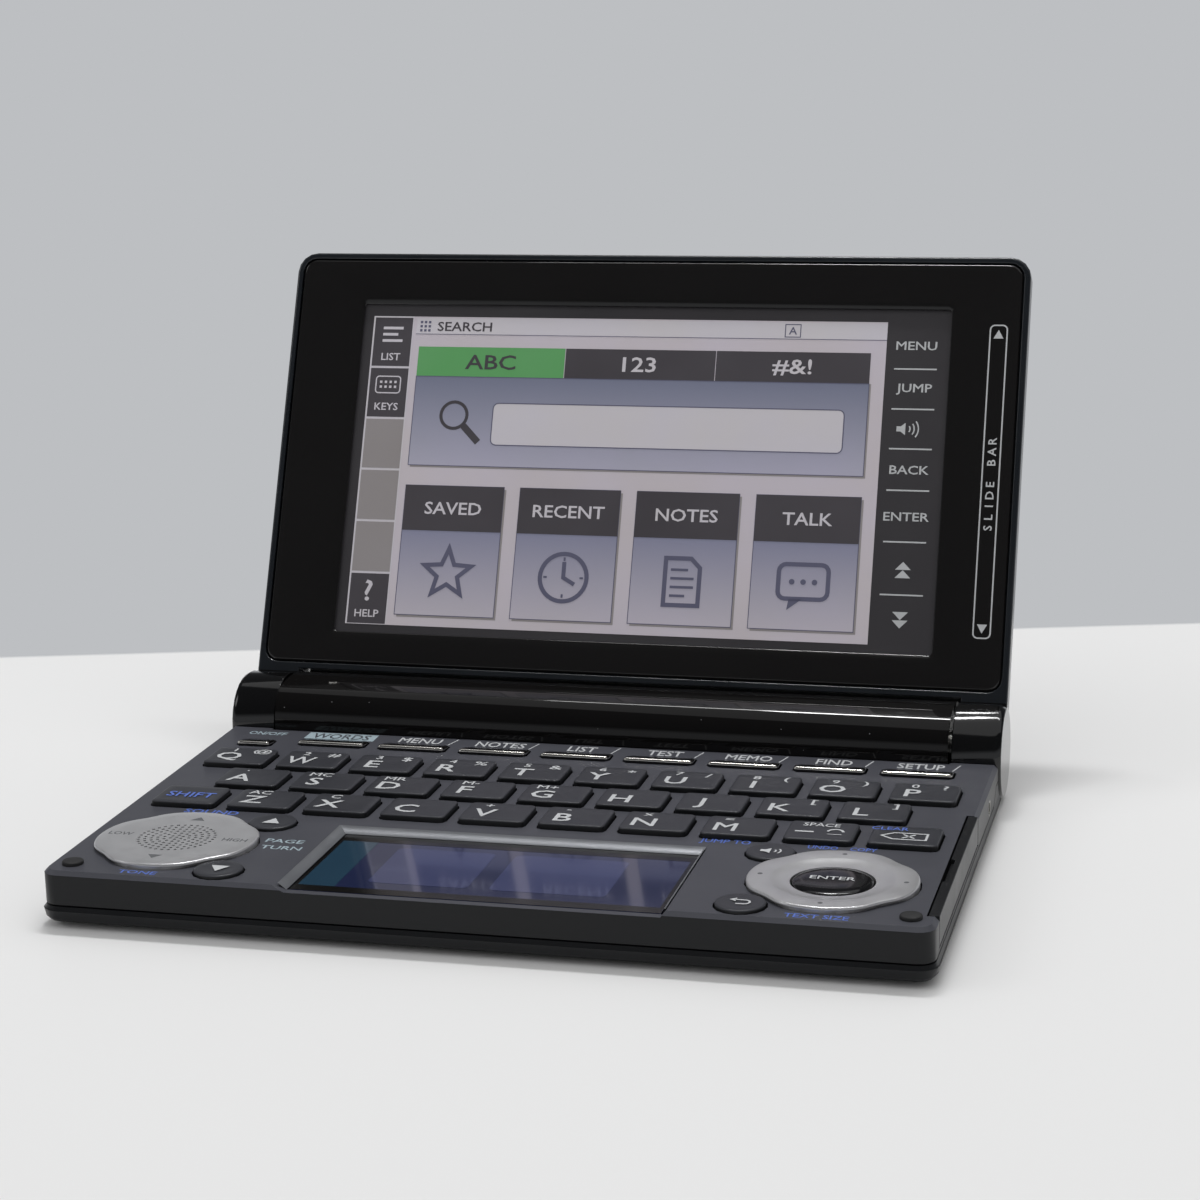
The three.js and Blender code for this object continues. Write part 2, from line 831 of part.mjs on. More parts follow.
function hingeUnits() {
  const inner = barrelHalf - hingeInBarrel;
  const step = knuckleInner + hingeStep;
  const outer = knuckleInner + hingeInKnuckle;
  const profile = [
    [inner, 0], [inner, hingeRadius - hingeBevel], [inner + hingeBevel, hingeRadius],
    [step, hingeRadius], [step, hingeTangRadius], [outer - hingeBevel, hingeTangRadius],
    [outer, hingeTangRadius - hingeBevel], [outer, 0],
  ];
  return bothEnds(turnedAlongX(profile, roundSteps)).map(atHinge);
}

// The lid's pieces lie flat with the hinge as their X axis, and their +Z side faces the reader.

function knuckles() {
  const outer = half + knuckleProud;
  return bothEnds(turnedAlongX([
    [knuckleInner, 0], [knuckleInner, knuckleRadius], [outer - knuckleTaper, knuckleRadius],
    [outer, knuckleRadius - knuckleDraft], [outer, 0],
  ], tubeSteps));
}

function lidShell() {
  const outside = rectangle(-half, half, -lidFoot, lidTop);
  const framed = rectangle(-half, half, lidBottom, lidTop);
  const face = -lidOffset;
  const back = face - lidThickness;
  const rings = edgeShares.map(([insetShare, riseShare]) => roundedRing(
    outside, lidCorner, lidEdge * insetShare, back + lidEdge * riseShare, cornerSteps,
  ));
  rings.push(roundedRing(outside, lidCorner, 0, face - lidFaceBevel, cornerSteps));
  rings.push(roundedRing(outside, lidCorner, lidFaceBevel, face, cornerSteps));
  const notch = rectangle(-knuckleInner, knuckleInner, -lidFoot - overrun, lidBottom);
  const pocket = solid(loft([face - bezelThickness - seatGap, face + overrun].map(
    (z) => roundedRing(framed, lidCorner, lidRim, z, cornerSteps),
  )));
  const hollow = solid(loft([back + lidBackWall, face].map(
    (z) => roundedRing(framed, lidCorner, lidRim + lidLedge, z, cornerSteps),
  )));
  const plate = cut(solid(loft(rings)), [block(notch, back - overrun, face + overrun)]);
  const bores = bothEnds(rodAlongX(
    knuckleInner - overrun, knuckleInner + hingeInKnuckle + seatGap, hingeBore, roundSteps,
  ));
  return cut(union([plate, ...knuckles()]), [pocket, hollow, ...bores]);
}

function lidBezel() {
  const rim = lidRim + seatGap;
  const outside = rectangle(-half, half, lidBottom, lidTop);
  const face = -lidOffset;
  const plate = solid(loft([
    roundedRing(outside, lidCorner, rim, face - bezelThickness, cornerSteps),
    roundedRing(outside, lidCorner, rim, face - bezelBevel, cornerSteps),
    roundedRing(outside, lidCorner, rim + bezelBevel, face, cornerSteps),
  ]));
  const opening = windowBox(0);
  const window = solid(loft([
    roundedRing(opening, windowRadius, 0, face - bezelThickness - overrun, keySteps),
    roundedRing(opening, windowRadius, 0, face - windowBevelDepth, keySteps),
    roundedRing(opening, windowRadius, -windowBevel, face, keySteps),
    roundedRing(opening, windowRadius, -windowBevel, face + overrun, keySteps),
  ]));
  const room = roundedBlock(
    windowBox(screenLap + seatGap), windowRadius, -lidOffset - bezelThickness - overrun,
    -screenFace + seatGap, keySteps,
  );
  return plate.subtract(window.add(room));
}

function windowBox(grow) {
  return rectangle(
    windowInsetLeft - half - grow, half - windowInsetRight + grow,
    lidBottom + windowInsetBottom - grow, lidTop - windowInsetTop + grow,
  );
}

function mainScreen() {
  return roundedBlock(windowBox(screenLap), windowRadius, -screenBack, -screenFace, keySteps);
}

// Keys

function rectangularKey(box, corner, rise, steps) {
  const top = deckZ + rise;
  const ring = (inset, z) => roundedRing(box, corner, inset, z, steps);
  return solid(loft([
    ring(-keyFlange, flangeBottomZ), ring(-keyFlange, flangeTopZ), ring(0, flangeTopZ),
    ring(0, top - keyBevel), ring(keyBevel, top),
  ]));
}

// The flange of a round key is cut straight where the front wall passes close by.
function roundKey(x, y) {
  const centre = new THREE.Vector2(x, y);
  const top = deckZ + roundKeyRise;
  const ring = (grow, z) => polarRing(centre, () => roundKeyRadius + grow, z, roundSteps);
  const body = solid(loft([
    ring(0, flangeBottomZ), ring(0, top - keyBevel), ring(-keyBevel, top),
  ]));
  const flange = post(x, y, roundKeyRadius + keyFlange, flangeBottomZ, flangeTopZ, roundSteps);
  const inside = rectangle(-half, half, wall + seatGap, caseRearY);
  return body.add(flange.intersect(block(inside, partingZ, deckZ)));
}

// Left pad: a thin lobed cap with a perforated middle over a hollow
function speakerPad() {
  const centre = new THREE.Vector2(padLeftX, clusterY);
  const top = deckZ + padRise;
  const lobed = (grow, z) => polarRing(centre, lobedRadius(grow), z, padSteps);
  const round = (radius, z) => polarRing(centre, () => radius, z, padSteps);
  const cap = solid(loft([
    round(padHollow, top - padSkin), round(padHollow, flangeBottomZ),
    lobed(padFlange, flangeBottomZ), lobed(padFlange, flangeTopZ), lobed(0, flangeTopZ),
    lobed(0, top - padBevel), lobed(-padBevel, top),
  ]));
  return cut(cap, grilleHoles(top));
}

// The grille is a middle hole in rings that each have six holes more than the last.
function grilleHoles(top) {
  const holes = [post(
    padLeftX, clusterY, grilleHole, top - padSkin - overrun, top + overrun, grilleSteps,
  )];
  for (let ringIndex = 1; ringIndex <= grilleRings; ringIndex++) {
    const count = grilleCount * ringIndex;
    for (let i = 0; i < count; i++) {
      const turn = i / count * Math.PI * 2;
      holes.push(post(
        padLeftX + ringIndex * grillePitch * Math.cos(turn),
        clusterY + ringIndex * grillePitch * Math.sin(turn),
        grilleHole, top - padSkin - overrun, top + overrun, grilleSteps,
      ));
    }
  }
  return holes;
}

// Right pad: a lobed ring dished towards the centre button
function ringPad() {
  const centre = new THREE.Vector2(padRightX, clusterY);
  const top = deckZ + padRise;
  const lobed = (grow, z) => polarRing(centre, lobedRadius(grow), z, padSteps);
  const round = (radius, z) => polarRing(centre, () => radius, z, padSteps);
  return solid(closedLoft([
    round(ringHole, flangeBottomZ), lobed(padFlange, flangeBottomZ), lobed(padFlange, flangeTopZ),
    lobed(0, flangeTopZ), lobed(0, top - padBevel), lobed(-padBevel, top),
    round(ringDish, top), round(ringHole, top - ringDishDepth),
  ]));
}

function centreButton() {
  const centre = new THREE.Vector2(padRightX, clusterY);
  const top = deckZ + padRise;
  const radius = ringHole - seatGap;
  const skirtTop = flangeBottomZ - padTravel - seatGap;
  const ring = (r, z) => polarRing(centre, () => r, z, roundSteps);
  return solid(loft([
    ring(radius + buttonSkirt, skirtTop - flangeThickness), ring(radius + buttonSkirt, skirtTop),
    ring(radius, skirtTop), ring(radius, top - buttonDome), ring(radius - keyBevel, top - keyBevel),
    ring(radius / 2, top),
  ]));
}

// Lower screen, pen, board and mat

function padScreen() {
  const top = deckZ - padScreenRecess;
  return block(
    rectangle(
      padScreenLeft + trimWide + seatGap, padScreenRight - trimNarrow - seatGap,
      padScreenInset + seatGap, padScreenDepth - trimWide - seatGap,
    ),
    top - padScreenThickness, top,
  );
}

function pen() {
  const box = penBox(0);
  const low = block(box, deckZ - penHeight, deckZ - penStep);
  const outer = block({ ...box, left: half - penOuterWidth }, deckZ - penHeight, deckZ);
  const notch = rectangle(
    half - penOuterWidth - overrun, half - penOuterWidth + penNotchWidth,
    box.front + penNotchInset, box.front + penNotchInset + penNotchLength,
  );
  return low.add(outer).subtract(block(notch, deckZ - penNotchDepth, deckZ + overrun));
}

function mainBoard() {
  const across = half - boardInset;
  const plate = block(
    rectangle(-across, across, boardFrontY, hingeAxisY - boardSetback), boardZ, boardTopZ,
  );
  const speaker = post(
    padLeftX, clusterY, speakerRadius, boardTopZ - seatGap, boardTopZ + speakerHeight, roundSteps,
  );
  const dish = post(
    padLeftX, clusterY, speakerRadius - speakerRim, boardTopZ + speakerHeight - speakerDish,
    boardTopZ + speakerHeight + overrun, roundSteps,
  );
  const jackReach = jackRadius + jackShell;
  const jack = block(
    rectangle(portFace - jackLength, portFace, jackY - jackReach, jackY + jackReach),
    boardTopZ - seatGap, jackZ + jackReach,
  );
  const jackBore = rodAlongX(portFace - jackLength + jackBack, half, jackRadius, smallSteps)
    .translate(0, jackY, jackZ);
  const usb = block(
    rectangle(-portFace, usbLength - portFace, usbY - usbShell, usbY + usbWidth + usbShell),
    boardTopZ - seatGap, usbLowZ + usbHeight + usbShell,
  );
  const usbRoom = block(
    rectangle(-half, usbLength - usbBack - portFace, usbY, usbY + usbWidth),
    usbLowZ, usbLowZ + usbHeight,
  );
  return union([plate, speaker, jack, usb]).subtract(union([dish, jackBore, usbRoom]));
}

function keyMat() {
  const across = half - matInset;
  const sheet = block(
    rectangle(
      -across, across, keyRowFrontY - matMarginFront, functionFrontY + functionDepth + matMarginBack,
    ),
    matZ, matZ + matThickness,
  );
  const domes = [...letterKeys(), ...functionKeys()].map(({ box }) => {
    const centre = new THREE.Vector2((box.left + box.right) / 2, (box.front + box.back) / 2);
    const ring = (radius, z) => polarRing(centre, () => radius, z, domeSteps);
    return solid(loft([
      ring(domeBase, matZ + matThickness / 2), ring(domeBase, matZ + matThickness),
      ring(domeTop, domeTopZ),
    ]));
  });
  const jackReach = jackRadius + jackShell + seatGap;
  const jackNotch = rectangle(
    portFace - jackLength - seatGap, half, jackY - jackReach, jackY + jackReach,
  );
  const usbMargin = usbShell + seatGap;
  const usbNotch = rectangle(
    -half, usbLength - portFace + seatGap, usbY - usbMargin, usbY + usbWidth + usbMargin,
  );
  const notches = [jackNotch, usbNotch].map((box) => block(box, matZ - overrun, deckZ));
  return cut(union([sheet, ...domes]), notches);
}

// Assembly

function mesh(name, body, material) {
  const piece = new THREE.Mesh(geometryOf(body), material);
  piece.name = name;
  return piece;
}

function baseMeshes() {
  const [hingeLeft, hingeRight] = hingeUnits();
  return [
    mesh('base_lower_case', lowerCase(), finishes.lowerCase),
    mesh('base_upper_case', upperCase(), finishes.deck),
    mesh('battery_barrel', barrel(), finishes.gloss),
    mesh('battery_cover', barrelCover(), finishes.gloss),
    mesh('battery_cell_left', cell(-1), finishes.cell),
    mesh('battery_cell_right', cell(1), finishes.cell),
    mesh('hinge_unit_left', hingeLeft, finishes.steel),
    mesh('hinge_unit_right', hingeRight, finishes.steel),
    mesh('main_board', mainBoard(), finishes.board),
    mesh('key_mat', keyMat(), finishes.rubber),
    mesh('lower_screen', padScreen(), finishes.padScreen),
    mesh('touch_pen', pen(), finishes.deck),
  ];
}

function keyMeshes() {
  return [
    ...letterKeys().map(({ name, box }) => mesh(
      name, rectangularKey(box, keyCorner, keyRise, keySteps), finishes.key,
    )),
    ...functionKeys().map(({ name, box }) => mesh(
      name, rectangularKey(box, functionCorner, functionRise, 1), finishes.functionKey,
    )),
    ...roundKeys().map(({ name, x, y }) => mesh(name, roundKey(x, y), finishes.key)),
    mesh('speaker_pad', speakerPad(), finishes.silver),
    mesh('ring_pad', ringPad(), finishes.silver),
    mesh('centre_button', centreButton(), finishes.functionKey),
  ];
}

function lidGroup() {
  const group = new THREE.Group();
  group.add(
    mesh('lid_back_shell', lidShell(), finishes.lidShell),
    mesh('lid_front_bezel', lidBezel(), finishes.gloss),
    mesh('main_screen', mainScreen(), finishes.screen),
  );
  group.position.set(0, hingeAxisY, hingeAxisZ);
  group.rotation.x = Math.PI - openAngle;
  return group;
}

const dictionary = new THREE.Group();
dictionary.add(...baseMeshes(), ...keyMeshes(), lidGroup());

// The origin is at the middle of the bounding box, on the plane that the feet stand on.
dictionary.updateMatrixWorld(true);
const bounds = new THREE.Box3().setFromObject(dictionary, true);
const middle = bounds.getCenter(new THREE.Vector3());
dictionary.position.set(-middle.x, -middle.y, -bounds.min.z);

export default dictionary;
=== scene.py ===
import math

import bmesh
import bpy
from mathutils import Matrix, Vector


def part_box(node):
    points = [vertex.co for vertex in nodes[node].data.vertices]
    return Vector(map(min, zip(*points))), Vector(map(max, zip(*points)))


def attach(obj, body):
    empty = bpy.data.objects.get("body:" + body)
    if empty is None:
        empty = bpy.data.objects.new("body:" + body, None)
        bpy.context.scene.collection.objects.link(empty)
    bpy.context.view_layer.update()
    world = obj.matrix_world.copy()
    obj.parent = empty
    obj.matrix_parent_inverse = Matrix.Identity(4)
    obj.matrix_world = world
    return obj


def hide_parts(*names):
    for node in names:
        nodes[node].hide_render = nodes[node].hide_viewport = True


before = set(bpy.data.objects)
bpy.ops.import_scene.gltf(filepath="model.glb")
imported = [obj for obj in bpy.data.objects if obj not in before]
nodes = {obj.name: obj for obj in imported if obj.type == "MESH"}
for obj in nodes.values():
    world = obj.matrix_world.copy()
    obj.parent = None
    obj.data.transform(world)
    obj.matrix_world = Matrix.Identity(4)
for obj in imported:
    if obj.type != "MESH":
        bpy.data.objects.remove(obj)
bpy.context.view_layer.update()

mm = 0.001
print("frame loaded:", len(nodes), "nodes")

# The lid leans back from its hinge line: places in mm in the part's frame, its angle to the table in degrees
hinge = {"y": 25.289, "z": 9.45, "lean": 66}
leanY, leanZ = math.cos(math.radians(hinge["lean"])), math.sin(math.radians(hinge["lean"]))

# Printed marks lie a little above their surface, in mm
lift = {"key": 0.01, "plate": 0.02}


def boxOf(node):
    # the corners of a CAD node in mm
    low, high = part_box(node)
    return [v / mm for v in low], [v / mm for v in high]


def middleOf(low, high):
    return (low[0] + high[0]) / 2, (low[1] + high[1]) / 2


def linearColour(hexCode):
    # sRGB hex to the linear values that the shaders work in
    values = [int(hexCode[i:i + 2], 16) / 255 for i in (1, 3, 5)]
    return [v / 12.92 if v <= 0.04045 else ((v + 0.055) / 1.055) ** 2.4 for v in values] + [1]


def setInput(node, key, value):
    # a node as the value stands for its first output in use
    if isinstance(value, bpy.types.Node):
        value = next(output for output in value.outputs if output.enabled)
    if isinstance(value, bpy.types.NodeSocket):
        node.id_data.links.new(value, node.inputs[key])
    else:
        node.inputs[key].default_value = value


def addNode(tree, kind, inputs=None, **settings):
    node = tree.nodes.new(kind)
    for key, value in settings.items():
        setattr(node, key, value)
    for key, value in (inputs or {}).items():
        setInput(node, key, value)
    return node


def addObject(name, data):
    thing = bpy.data.objects.new(name, data)
    bpy.context.scene.collection.objects.link(thing)
    return thing


def emptyTree(block):
    block.use_nodes = True
    block.node_tree.nodes.clear()
    return block.node_tree


def objectSpot(tree):
    return addNode(tree, "ShaderNodeTexCoord").outputs["Object"]


def makeFinish(name, dark, light, patch, grain, rough, shader, dust=0, stretch=None):
    # one surface: two close tints in soft patches, a fine grain as bump, and uneven polish.
    # In mm: patch and dust are sizes, and grain is its size and depth, then the bump's strength
    material = bpy.data.materials.new(name)
    tree = emptyTree(material)
    size, depth, strength = grain
    spot = objectSpot(tree)
    if stretch:
        spot = addNode(tree, "ShaderNodeMapping", {"Vector": spot, "Scale": stretch})
    patches, relief = (
        addNode(tree, "ShaderNodeTexNoise", {"Vector": spot, "Scale": 1 / (width * mm), "Detail": detail})
        for width, detail in ((patch, 3), (size, 2)))
    tint = addNode(tree, "ShaderNodeMix", {
        0: patches, 6: linearColour(dark), 7: linearColour(light)}, data_type="RGBA")
    if dust:
        # rare pale specks: only the cells' very centres pass the threshold
        cells = addNode(tree, "ShaderNodeTexVoronoi", {
            "Vector": spot, "Scale": 1 / (dust * mm), "Randomness": 1})
        speck = addNode(tree, "ShaderNodeMath", {0: cells, 1: 0.035}, operation="LESS_THAN")
        tint = addNode(tree, "ShaderNodeMix", {
            0: speck, 6: tint, 7: linearColour("#6a6a6c")}, data_type="RGBA")
    polish = addNode(tree, "ShaderNodeMapRange", {
        "Value": patches, "From Min": 0.3, "From Max": 0.7, "To Min": rough[0], "To Max": rough[1]})
    bump = addNode(tree, "ShaderNodeBump", {"Height": relief, "Strength": strength, "Distance": depth * mm})
    surface = addNode(tree, "ShaderNodeBsdfPrincipled", {
        "Base Color": tint, "Roughness": polish, "Normal": bump, **shader})
    addNode(tree, "ShaderNodeOutputMaterial", {"Surface": surface})
    return material


def mainShader(material):
    return next(n for n in material.node_tree.nodes if n.type == "BSDF_PRINCIPLED")


def sourceOf(shader, name):
    return shader.inputs[name].links[0].from_socket


def overlay(material, mask, colour, rough):
    # where the mask is 1, another colour and polish take over
    tree, shader = material.node_tree, mainShader(material)
    share = mask(tree)
    tint = addNode(tree, "ShaderNodeMix", {
        0: share, 6: sourceOf(shader, "Base Color"), 7: linearColour(colour)}, data_type="RGBA")
    polish = addNode(tree, "ShaderNodeMix", {0: share, 2: sourceOf(shader, "Roughness"), 3: rough})
    setInput(shader, "Base Color", tint)
    setInput(shader, "Roughness", polish)


# Where one finish on a solid ends, in mm: the feet's tops, the knuckles' reach and the cells' bare ends
finishEnds = {"foot": 0.66, "knuckle": 9.6, "cell": 2.2}


def shadedWallMask(tree):
    # 1 on upright faces, 0 on faces that look up: it marks where the side walls get painted shade
    normal = addNode(tree, "ShaderNodeNewGeometry").outputs["Normal"]
    axes = addNode(tree, "ShaderNodeSeparateXYZ", {0: normal})
    return addNode(tree, "ShaderNodeMapRange", {
        "Value": axes.outputs["Z"], "From Min": 0.25, "From Max": 0.55, "To Min": 1, "To Max": 0})


def footMask(tree):
    # the feet stand below the floor of the case
    axes = addNode(tree, "ShaderNodeSeparateXYZ", {0: objectSpot(tree)})
    return addNode(tree, "ShaderNodeMath", {
        0: axes.outputs["Z"], 1: finishEnds["foot"] * mm}, operation="LESS_THAN")


def knuckleMask(tree):
    # the knuckles lie close round the hinge line
    across = addNode(tree, "ShaderNodeVectorMath", {0: objectSpot(tree), 1: (0, 1, 1)}, operation="MULTIPLY")
    reach = addNode(tree, "ShaderNodeVectorMath", {
        0: across, 1: (0, hinge["y"] * mm, hinge["z"] * mm)}, operation="DISTANCE")
    return addNode(tree, "ShaderNodeMath", {
        0: reach, 1: finishEnds["knuckle"] * mm}, operation="LESS_THAN")


def endMask(tree):
    # the cells' ends, on either side of the middle of each cell
    inner, outer = sorted(abs(corner[0]) for corner in boxOf("battery_cell_right"))
    axes = addNode(tree, "ShaderNodeSeparateXYZ", {0: objectSpot(tree)})
    far = addNode(tree, "ShaderNodeMath", {0: axes.outputs["X"]}, operation="ABSOLUTE")
    off = addNode(tree, "ShaderNodeMath", {0: far, 1: (inner + outer) / 2 * mm}, operation="SUBTRACT")
    reach = addNode(tree, "ShaderNodeMath", {0: off}, operation="ABSOLUTE")
    return addNode(tree, "ShaderNodeMath", {
        0: reach, 1: ((outer - inner) / 2 - finishEnds["cell"]) * mm}, operation="GREATER_THAN")


plastic, metal = {"IOR": 1.5}, {"Metallic": 1}

# Moulded ABS, spark-eroded tool: a dark charcoal with a fine matt grain that greys at low angles.
# The real grain is 0.1 mm; it is drawn at 0.25 mm so that it still shows.
deckAbs = makeFinish(
    "mouldedAbsCharcoal", "#424349", "#494a51", patch=9, grain=(0.25, 0.014, 0.45), rough=(0.38, 0.46),
    shader={"IOR": 1.5, "Specular IOR Level": 0.25})
# Its side walls are painted darker as shade, with a smoother polish that is less pale at low angles
overlay(deckAbs, shadedWallMask, "#161719", 0.34)

# Moulded ABS, a finer tool texture: the underside and ledge, a shade darker and a little smoother
lowerAbs = makeFinish(
    "mouldedAbsBlack", "#18191b", "#1d1e20", patch=12, grain=(0.2, 0.01, 0.3), rough=(0.3, 0.37),
    shader={"IOR": 1.5, "Specular IOR Level": 0.25})
# The feet are moulded on in rubber
overlay(lowerAbs, footMask, "#0f0f10", 0.7)

# High-gloss ABS with a hard clear coat: near black, mirror-like, with a few dust specks
glossAbs = makeFinish(
    "polishedAbsBlack", "#0d0c0c", "#111010", patch=18, grain=(2.5, 0.004, 0.15), rough=(0.03, 0.055),
    shader={"IOR": 1.5, "Specular IOR Level": 0.28}, dust=3.5)

# The window frame is the same plastic, printed black from behind: a little softer and less deep
frameAbs = makeFinish(
    "polishedAbsFrame", "#151414", "#191818", patch=22, grain=(2.5, 0.003, 0.12), rough=(0.05, 0.09),
    shader={"IOR": 1.5, "Specular IOR Level": 0.45})

# Sprayed satin lacquer with a fine blue flake: the lid's outside is blue-black, soft in the light
lidLacquer = makeFinish(
    "sprayedLacquerBlueBlack", "#14181d", "#1b2026", patch=14, grain=(0.3, 0.008, 0.3), rough=(0.26, 0.34),
    shader={"IOR": 1.5, "Metallic": 0.15, "Coat Weight": 0.25, "Coat Roughness": 0.12})
# The lid's knuckles are masked off before spraying, so their polished black ABS stays bare
overlay(lidLacquer, knuckleMask, "#0b0b0c", 0.07)

# Satin UV-cured lacquer on ABS key caps: black, smoother than the deck, soft highlights on edges
keyAbs = makeFinish(
    "lacqueredAbsKey", "#323338", "#393a3f", patch=5, grain=(0.3, 0.008, 0.35), rough=(0.34, 0.42),
    shader={"IOR": 1.5, "Specular IOR Level": 0.3})
# the caps' upright sides are painted darker as shade, with a smoother polish
overlay(keyAbs, shadedWallMask, "#131416", 0.32)

# Polished black ABS of the small function keys and the centre button
pianoAbs = makeFinish(
    "polishedAbsKey", "#0c0c0d", "#111113", patch=6, grain=(1.2, 0.004, 0.15), rough=(0.08, 0.14),
    shader=plastic)

# Bright chromium plating on ABS: a hard mirror with a faint warm tone
chromePlate = makeFinish(
    "platedChrome", "#cfccc6", "#dedbd5", patch=4, grain=(1.5, 0.004, 0.2), rough=(0.1, 0.18), shader=metal)

# Silver lacquer over ABS, sprayed with a fine flake: a satin metal look, no grain direction
silverLacquer = makeFinish(
    "sprayedLacquerSilver", "#bcbcbe", "#c8c8ca", patch=3, grain=(0.22, 0.008, 0.3), rough=(0.28, 0.36),
    shader={"Metallic": 0.6, "Coat Weight": 0.2, "Coat Roughness": 0.2})

# The same lacquer on the moulded border of the lower screen, darker and duller
trimLacquer = makeFinish(
    "sprayedLacquerGrey", "#6c6e72", "#7a7c80", patch=5, grain=(0.25, 0.008, 0.3), rough=(0.36, 0.44),
    shader={"Metallic": 0.6})

# Turned steel of the hinge units, left oiled: a grey that shimmers in fine rings
turnedSteel = makeFinish(
    "turnedSteel", "#8c8b88", "#a3a29e", patch=2, grain=(0.3, 0.01, 0.3), rough=(0.22, 0.36), shader=metal,
    stretch=(6, 1, 1))

# Drawn nickel-plated steel of the sockets' shells: pale, warm and evenly bright
nickelSteel = makeFinish(
    "drawnNickelSteel", "#a8a6a0", "#bdbbb5", patch=3, grain=(0.5, 0.006, 0.3), rough=(0.2, 0.3),
    shader=metal)

# Blackened steel screws: a dark dull metal
blackSteel = makeFinish(
    "blackenedSteel", "#2e2f31", "#3b3c3e", patch=1, grain=(0.2, 0.01, 0.3), rough=(0.3, 0.42), shader=metal)

# Printed shrink film round the cells: a plain dark green with a clear gloss, and bare steel at the ends
cellFilm = makeFinish(
    "shrinkFilmGreen", "#1f5a3a", "#256846", patch=6, grain=(1, 0.006, 0.3), rough=(0.2, 0.28),
    shader=plastic)
overlay(cellFilm, endMask, "#b2b0aa", 0.28)

# Solder mask on glass-epoxy laminate: deep green with tracks showing as faint relief
boardMask = makeFinish(
    "solderMaskLaminate", "#11402a", "#1c5a3b", patch=1.6, grain=(0.5, 0.03, 0.6), rough=(0.28, 0.4),
    shader={"IOR": 1.55})

# Moulded silicone: pale grey keypad mat, soft and slightly waxy
siliconeMat = makeFinish(
    "mouldedSiliconeGrey", "#8b8d8e", "#979999", patch=5, grain=(0.4, 0.01, 0.3), rough=(0.5, 0.6),
    shader={"IOR": 1.41, "Subsurface Weight": 0.05})

# Moulded black rubber of the stops, dead matt; the same black also stands for painted shade behind the grille
# and in the screws' cross recesses
blackRubberAndShade = makeFinish(
    "mouldedRubberBlackAndPaintedShade", "#161617", "#1c1c1d", patch=3, grain=(0.25, 0.02, 0.5), rough=(0.62, 0.75),
    shader={"IOR": 1.52})

# Pad-printed two-part inks: flat, thin and slightly rough
whiteInk, blueInk, paleInk, greyInk = (
    makeFinish("padPrintedInk" + tone, dark, light, patch=2, grain=(0.2, 0.004, 0.3), rough=(0.45, 0.55),
               shader=plastic)
    for tone, dark, light in (("White", "#b4b6b8", "#c0c2c4"), ("Blue", "#4a64b4", "#5571c2"),
                              ("Pale", "#8fa0a8", "#9dadb4"), ("Grey", "#55575a", "#5f6164")))

# Dark float glass over the lower display: deep blue, with the unlit layers under it in paler tones
padGlass, padGlassTeal, padGlassPale = (
    makeFinish("displayGlass" + tone, dark, light, patch, grain=(6, 0.002, 0.1), rough=rough,
               shader={"IOR": 1.52, "Coat Weight": 0.5, "Coat Roughness": 0.05})
    for tone, dark, light, patch, rough in (("Blue", "#1d2440", "#262c4c", 26, (0.06, 0.1)),
                                            ("Teal", "#20384a", "#2a4456", 20, (0.06, 0.1)),
                                            ("Pale", "#2d3458", "#353c62", 20, (0.08, 0.12))))

# Screen-printed black behind the glass's edge: an even warm black frame
frameInk = makeFinish(
    "screenPrintedBlack", "#0e0d0d", "#131211", patch=12, grain=(4, 0.002, 0.1), rough=(0.12, 0.18),
    shader={"IOR": 1.52})

# Anti-glare film over the main display: dark grey and evenly dull
filmGrey = makeFinish(
    "antiGlareFilmGrey", "#383639", "#403e41", patch=22, grain=(0.2, 0.003, 0.2), rough=(0.3, 0.38),
    shader=plastic)


def screenTint(name, cool, warm):
    # a lit liquid-crystal tone behind anti-glare film: it drifts slowly between two near colours
    look = {"patch": 17, "grain": (0.2, 0.003, 0.15), "rough": (0.34, 0.42)}
    material = makeFinish(name, cool, warm, shader={"IOR": 1.5, "Emission Strength": 0.28}, **look)
    shader = mainShader(material)
    setInput(shader, "Emission Color", sourceOf(shader, "Base Color"))
    return material


def shadeDown(material, low, high, tone):
    # the tone deepens evenly between two heights on the lid in mm, and ends there
    tree, shader = material.node_tree, mainShader(material)
    height = addNode(tree, "ShaderNodeVectorMath", {
        0: objectSpot(tree), 1: (0, leanY, leanZ)}, operation="DOT_PRODUCT")
    start = (hinge["y"] * leanY + hinge["z"] * leanZ) * mm
    share = addNode(tree, "ShaderNodeMapRange", {
        "Value": height, "From Min": start + low * mm, "From Max": start + high * mm})
    inside = addNode(tree, "ShaderNodeMath", {0: height, 1: start + (high + 0.5) * mm}, operation="LESS_THAN")
    amount = addNode(tree, "ShaderNodeMath", {0: share, 1: inside}, operation="MULTIPLY")
    colour = addNode(tree, "ShaderNodeMix", {
        0: amount, 6: sourceOf(shader, "Base Color"), 7: linearColour(tone)}, data_type="RGBA")
    for socket in ("Base Color", "Emission Color"):
        setInput(shader, socket, colour)


pageTones = {"Paper": ("#aca5a5", "#ada7b4"), "White": ("#b2aeae", "#aeabb6"),
             "Blue": ("#94949f", "#9794a8"), "Card": ("#a29ea3", "#a59fad"),
             "Blank": ("#7c7776", "#827e80"), "Dark": ("#3a373b", "#423f44"),
             "Green": ("#4a8c4e", "#5a8f5e"), "Line": ("#4c4c5e", "#55556a")}
pageFinishes = [screenTint("litPanel" + name, *tones) for name, tones in pageTones.items()] + [whiteInk]
paper, white, blue, card, blank, dark, green, line, ink = range(9)
shadeDown(pageFinishes[blue], 52.0, 70.2, "#676b7e")
shadeDown(pageFinishes[card], 22.0, 40.0, "#72748a")
print("finishes made:", len(bpy.data.materials))


# Shapes are gathered as points in millimetres, faces and a finish number for each face
def newShape():
    return {"points": [], "faces": [], "finish": []}


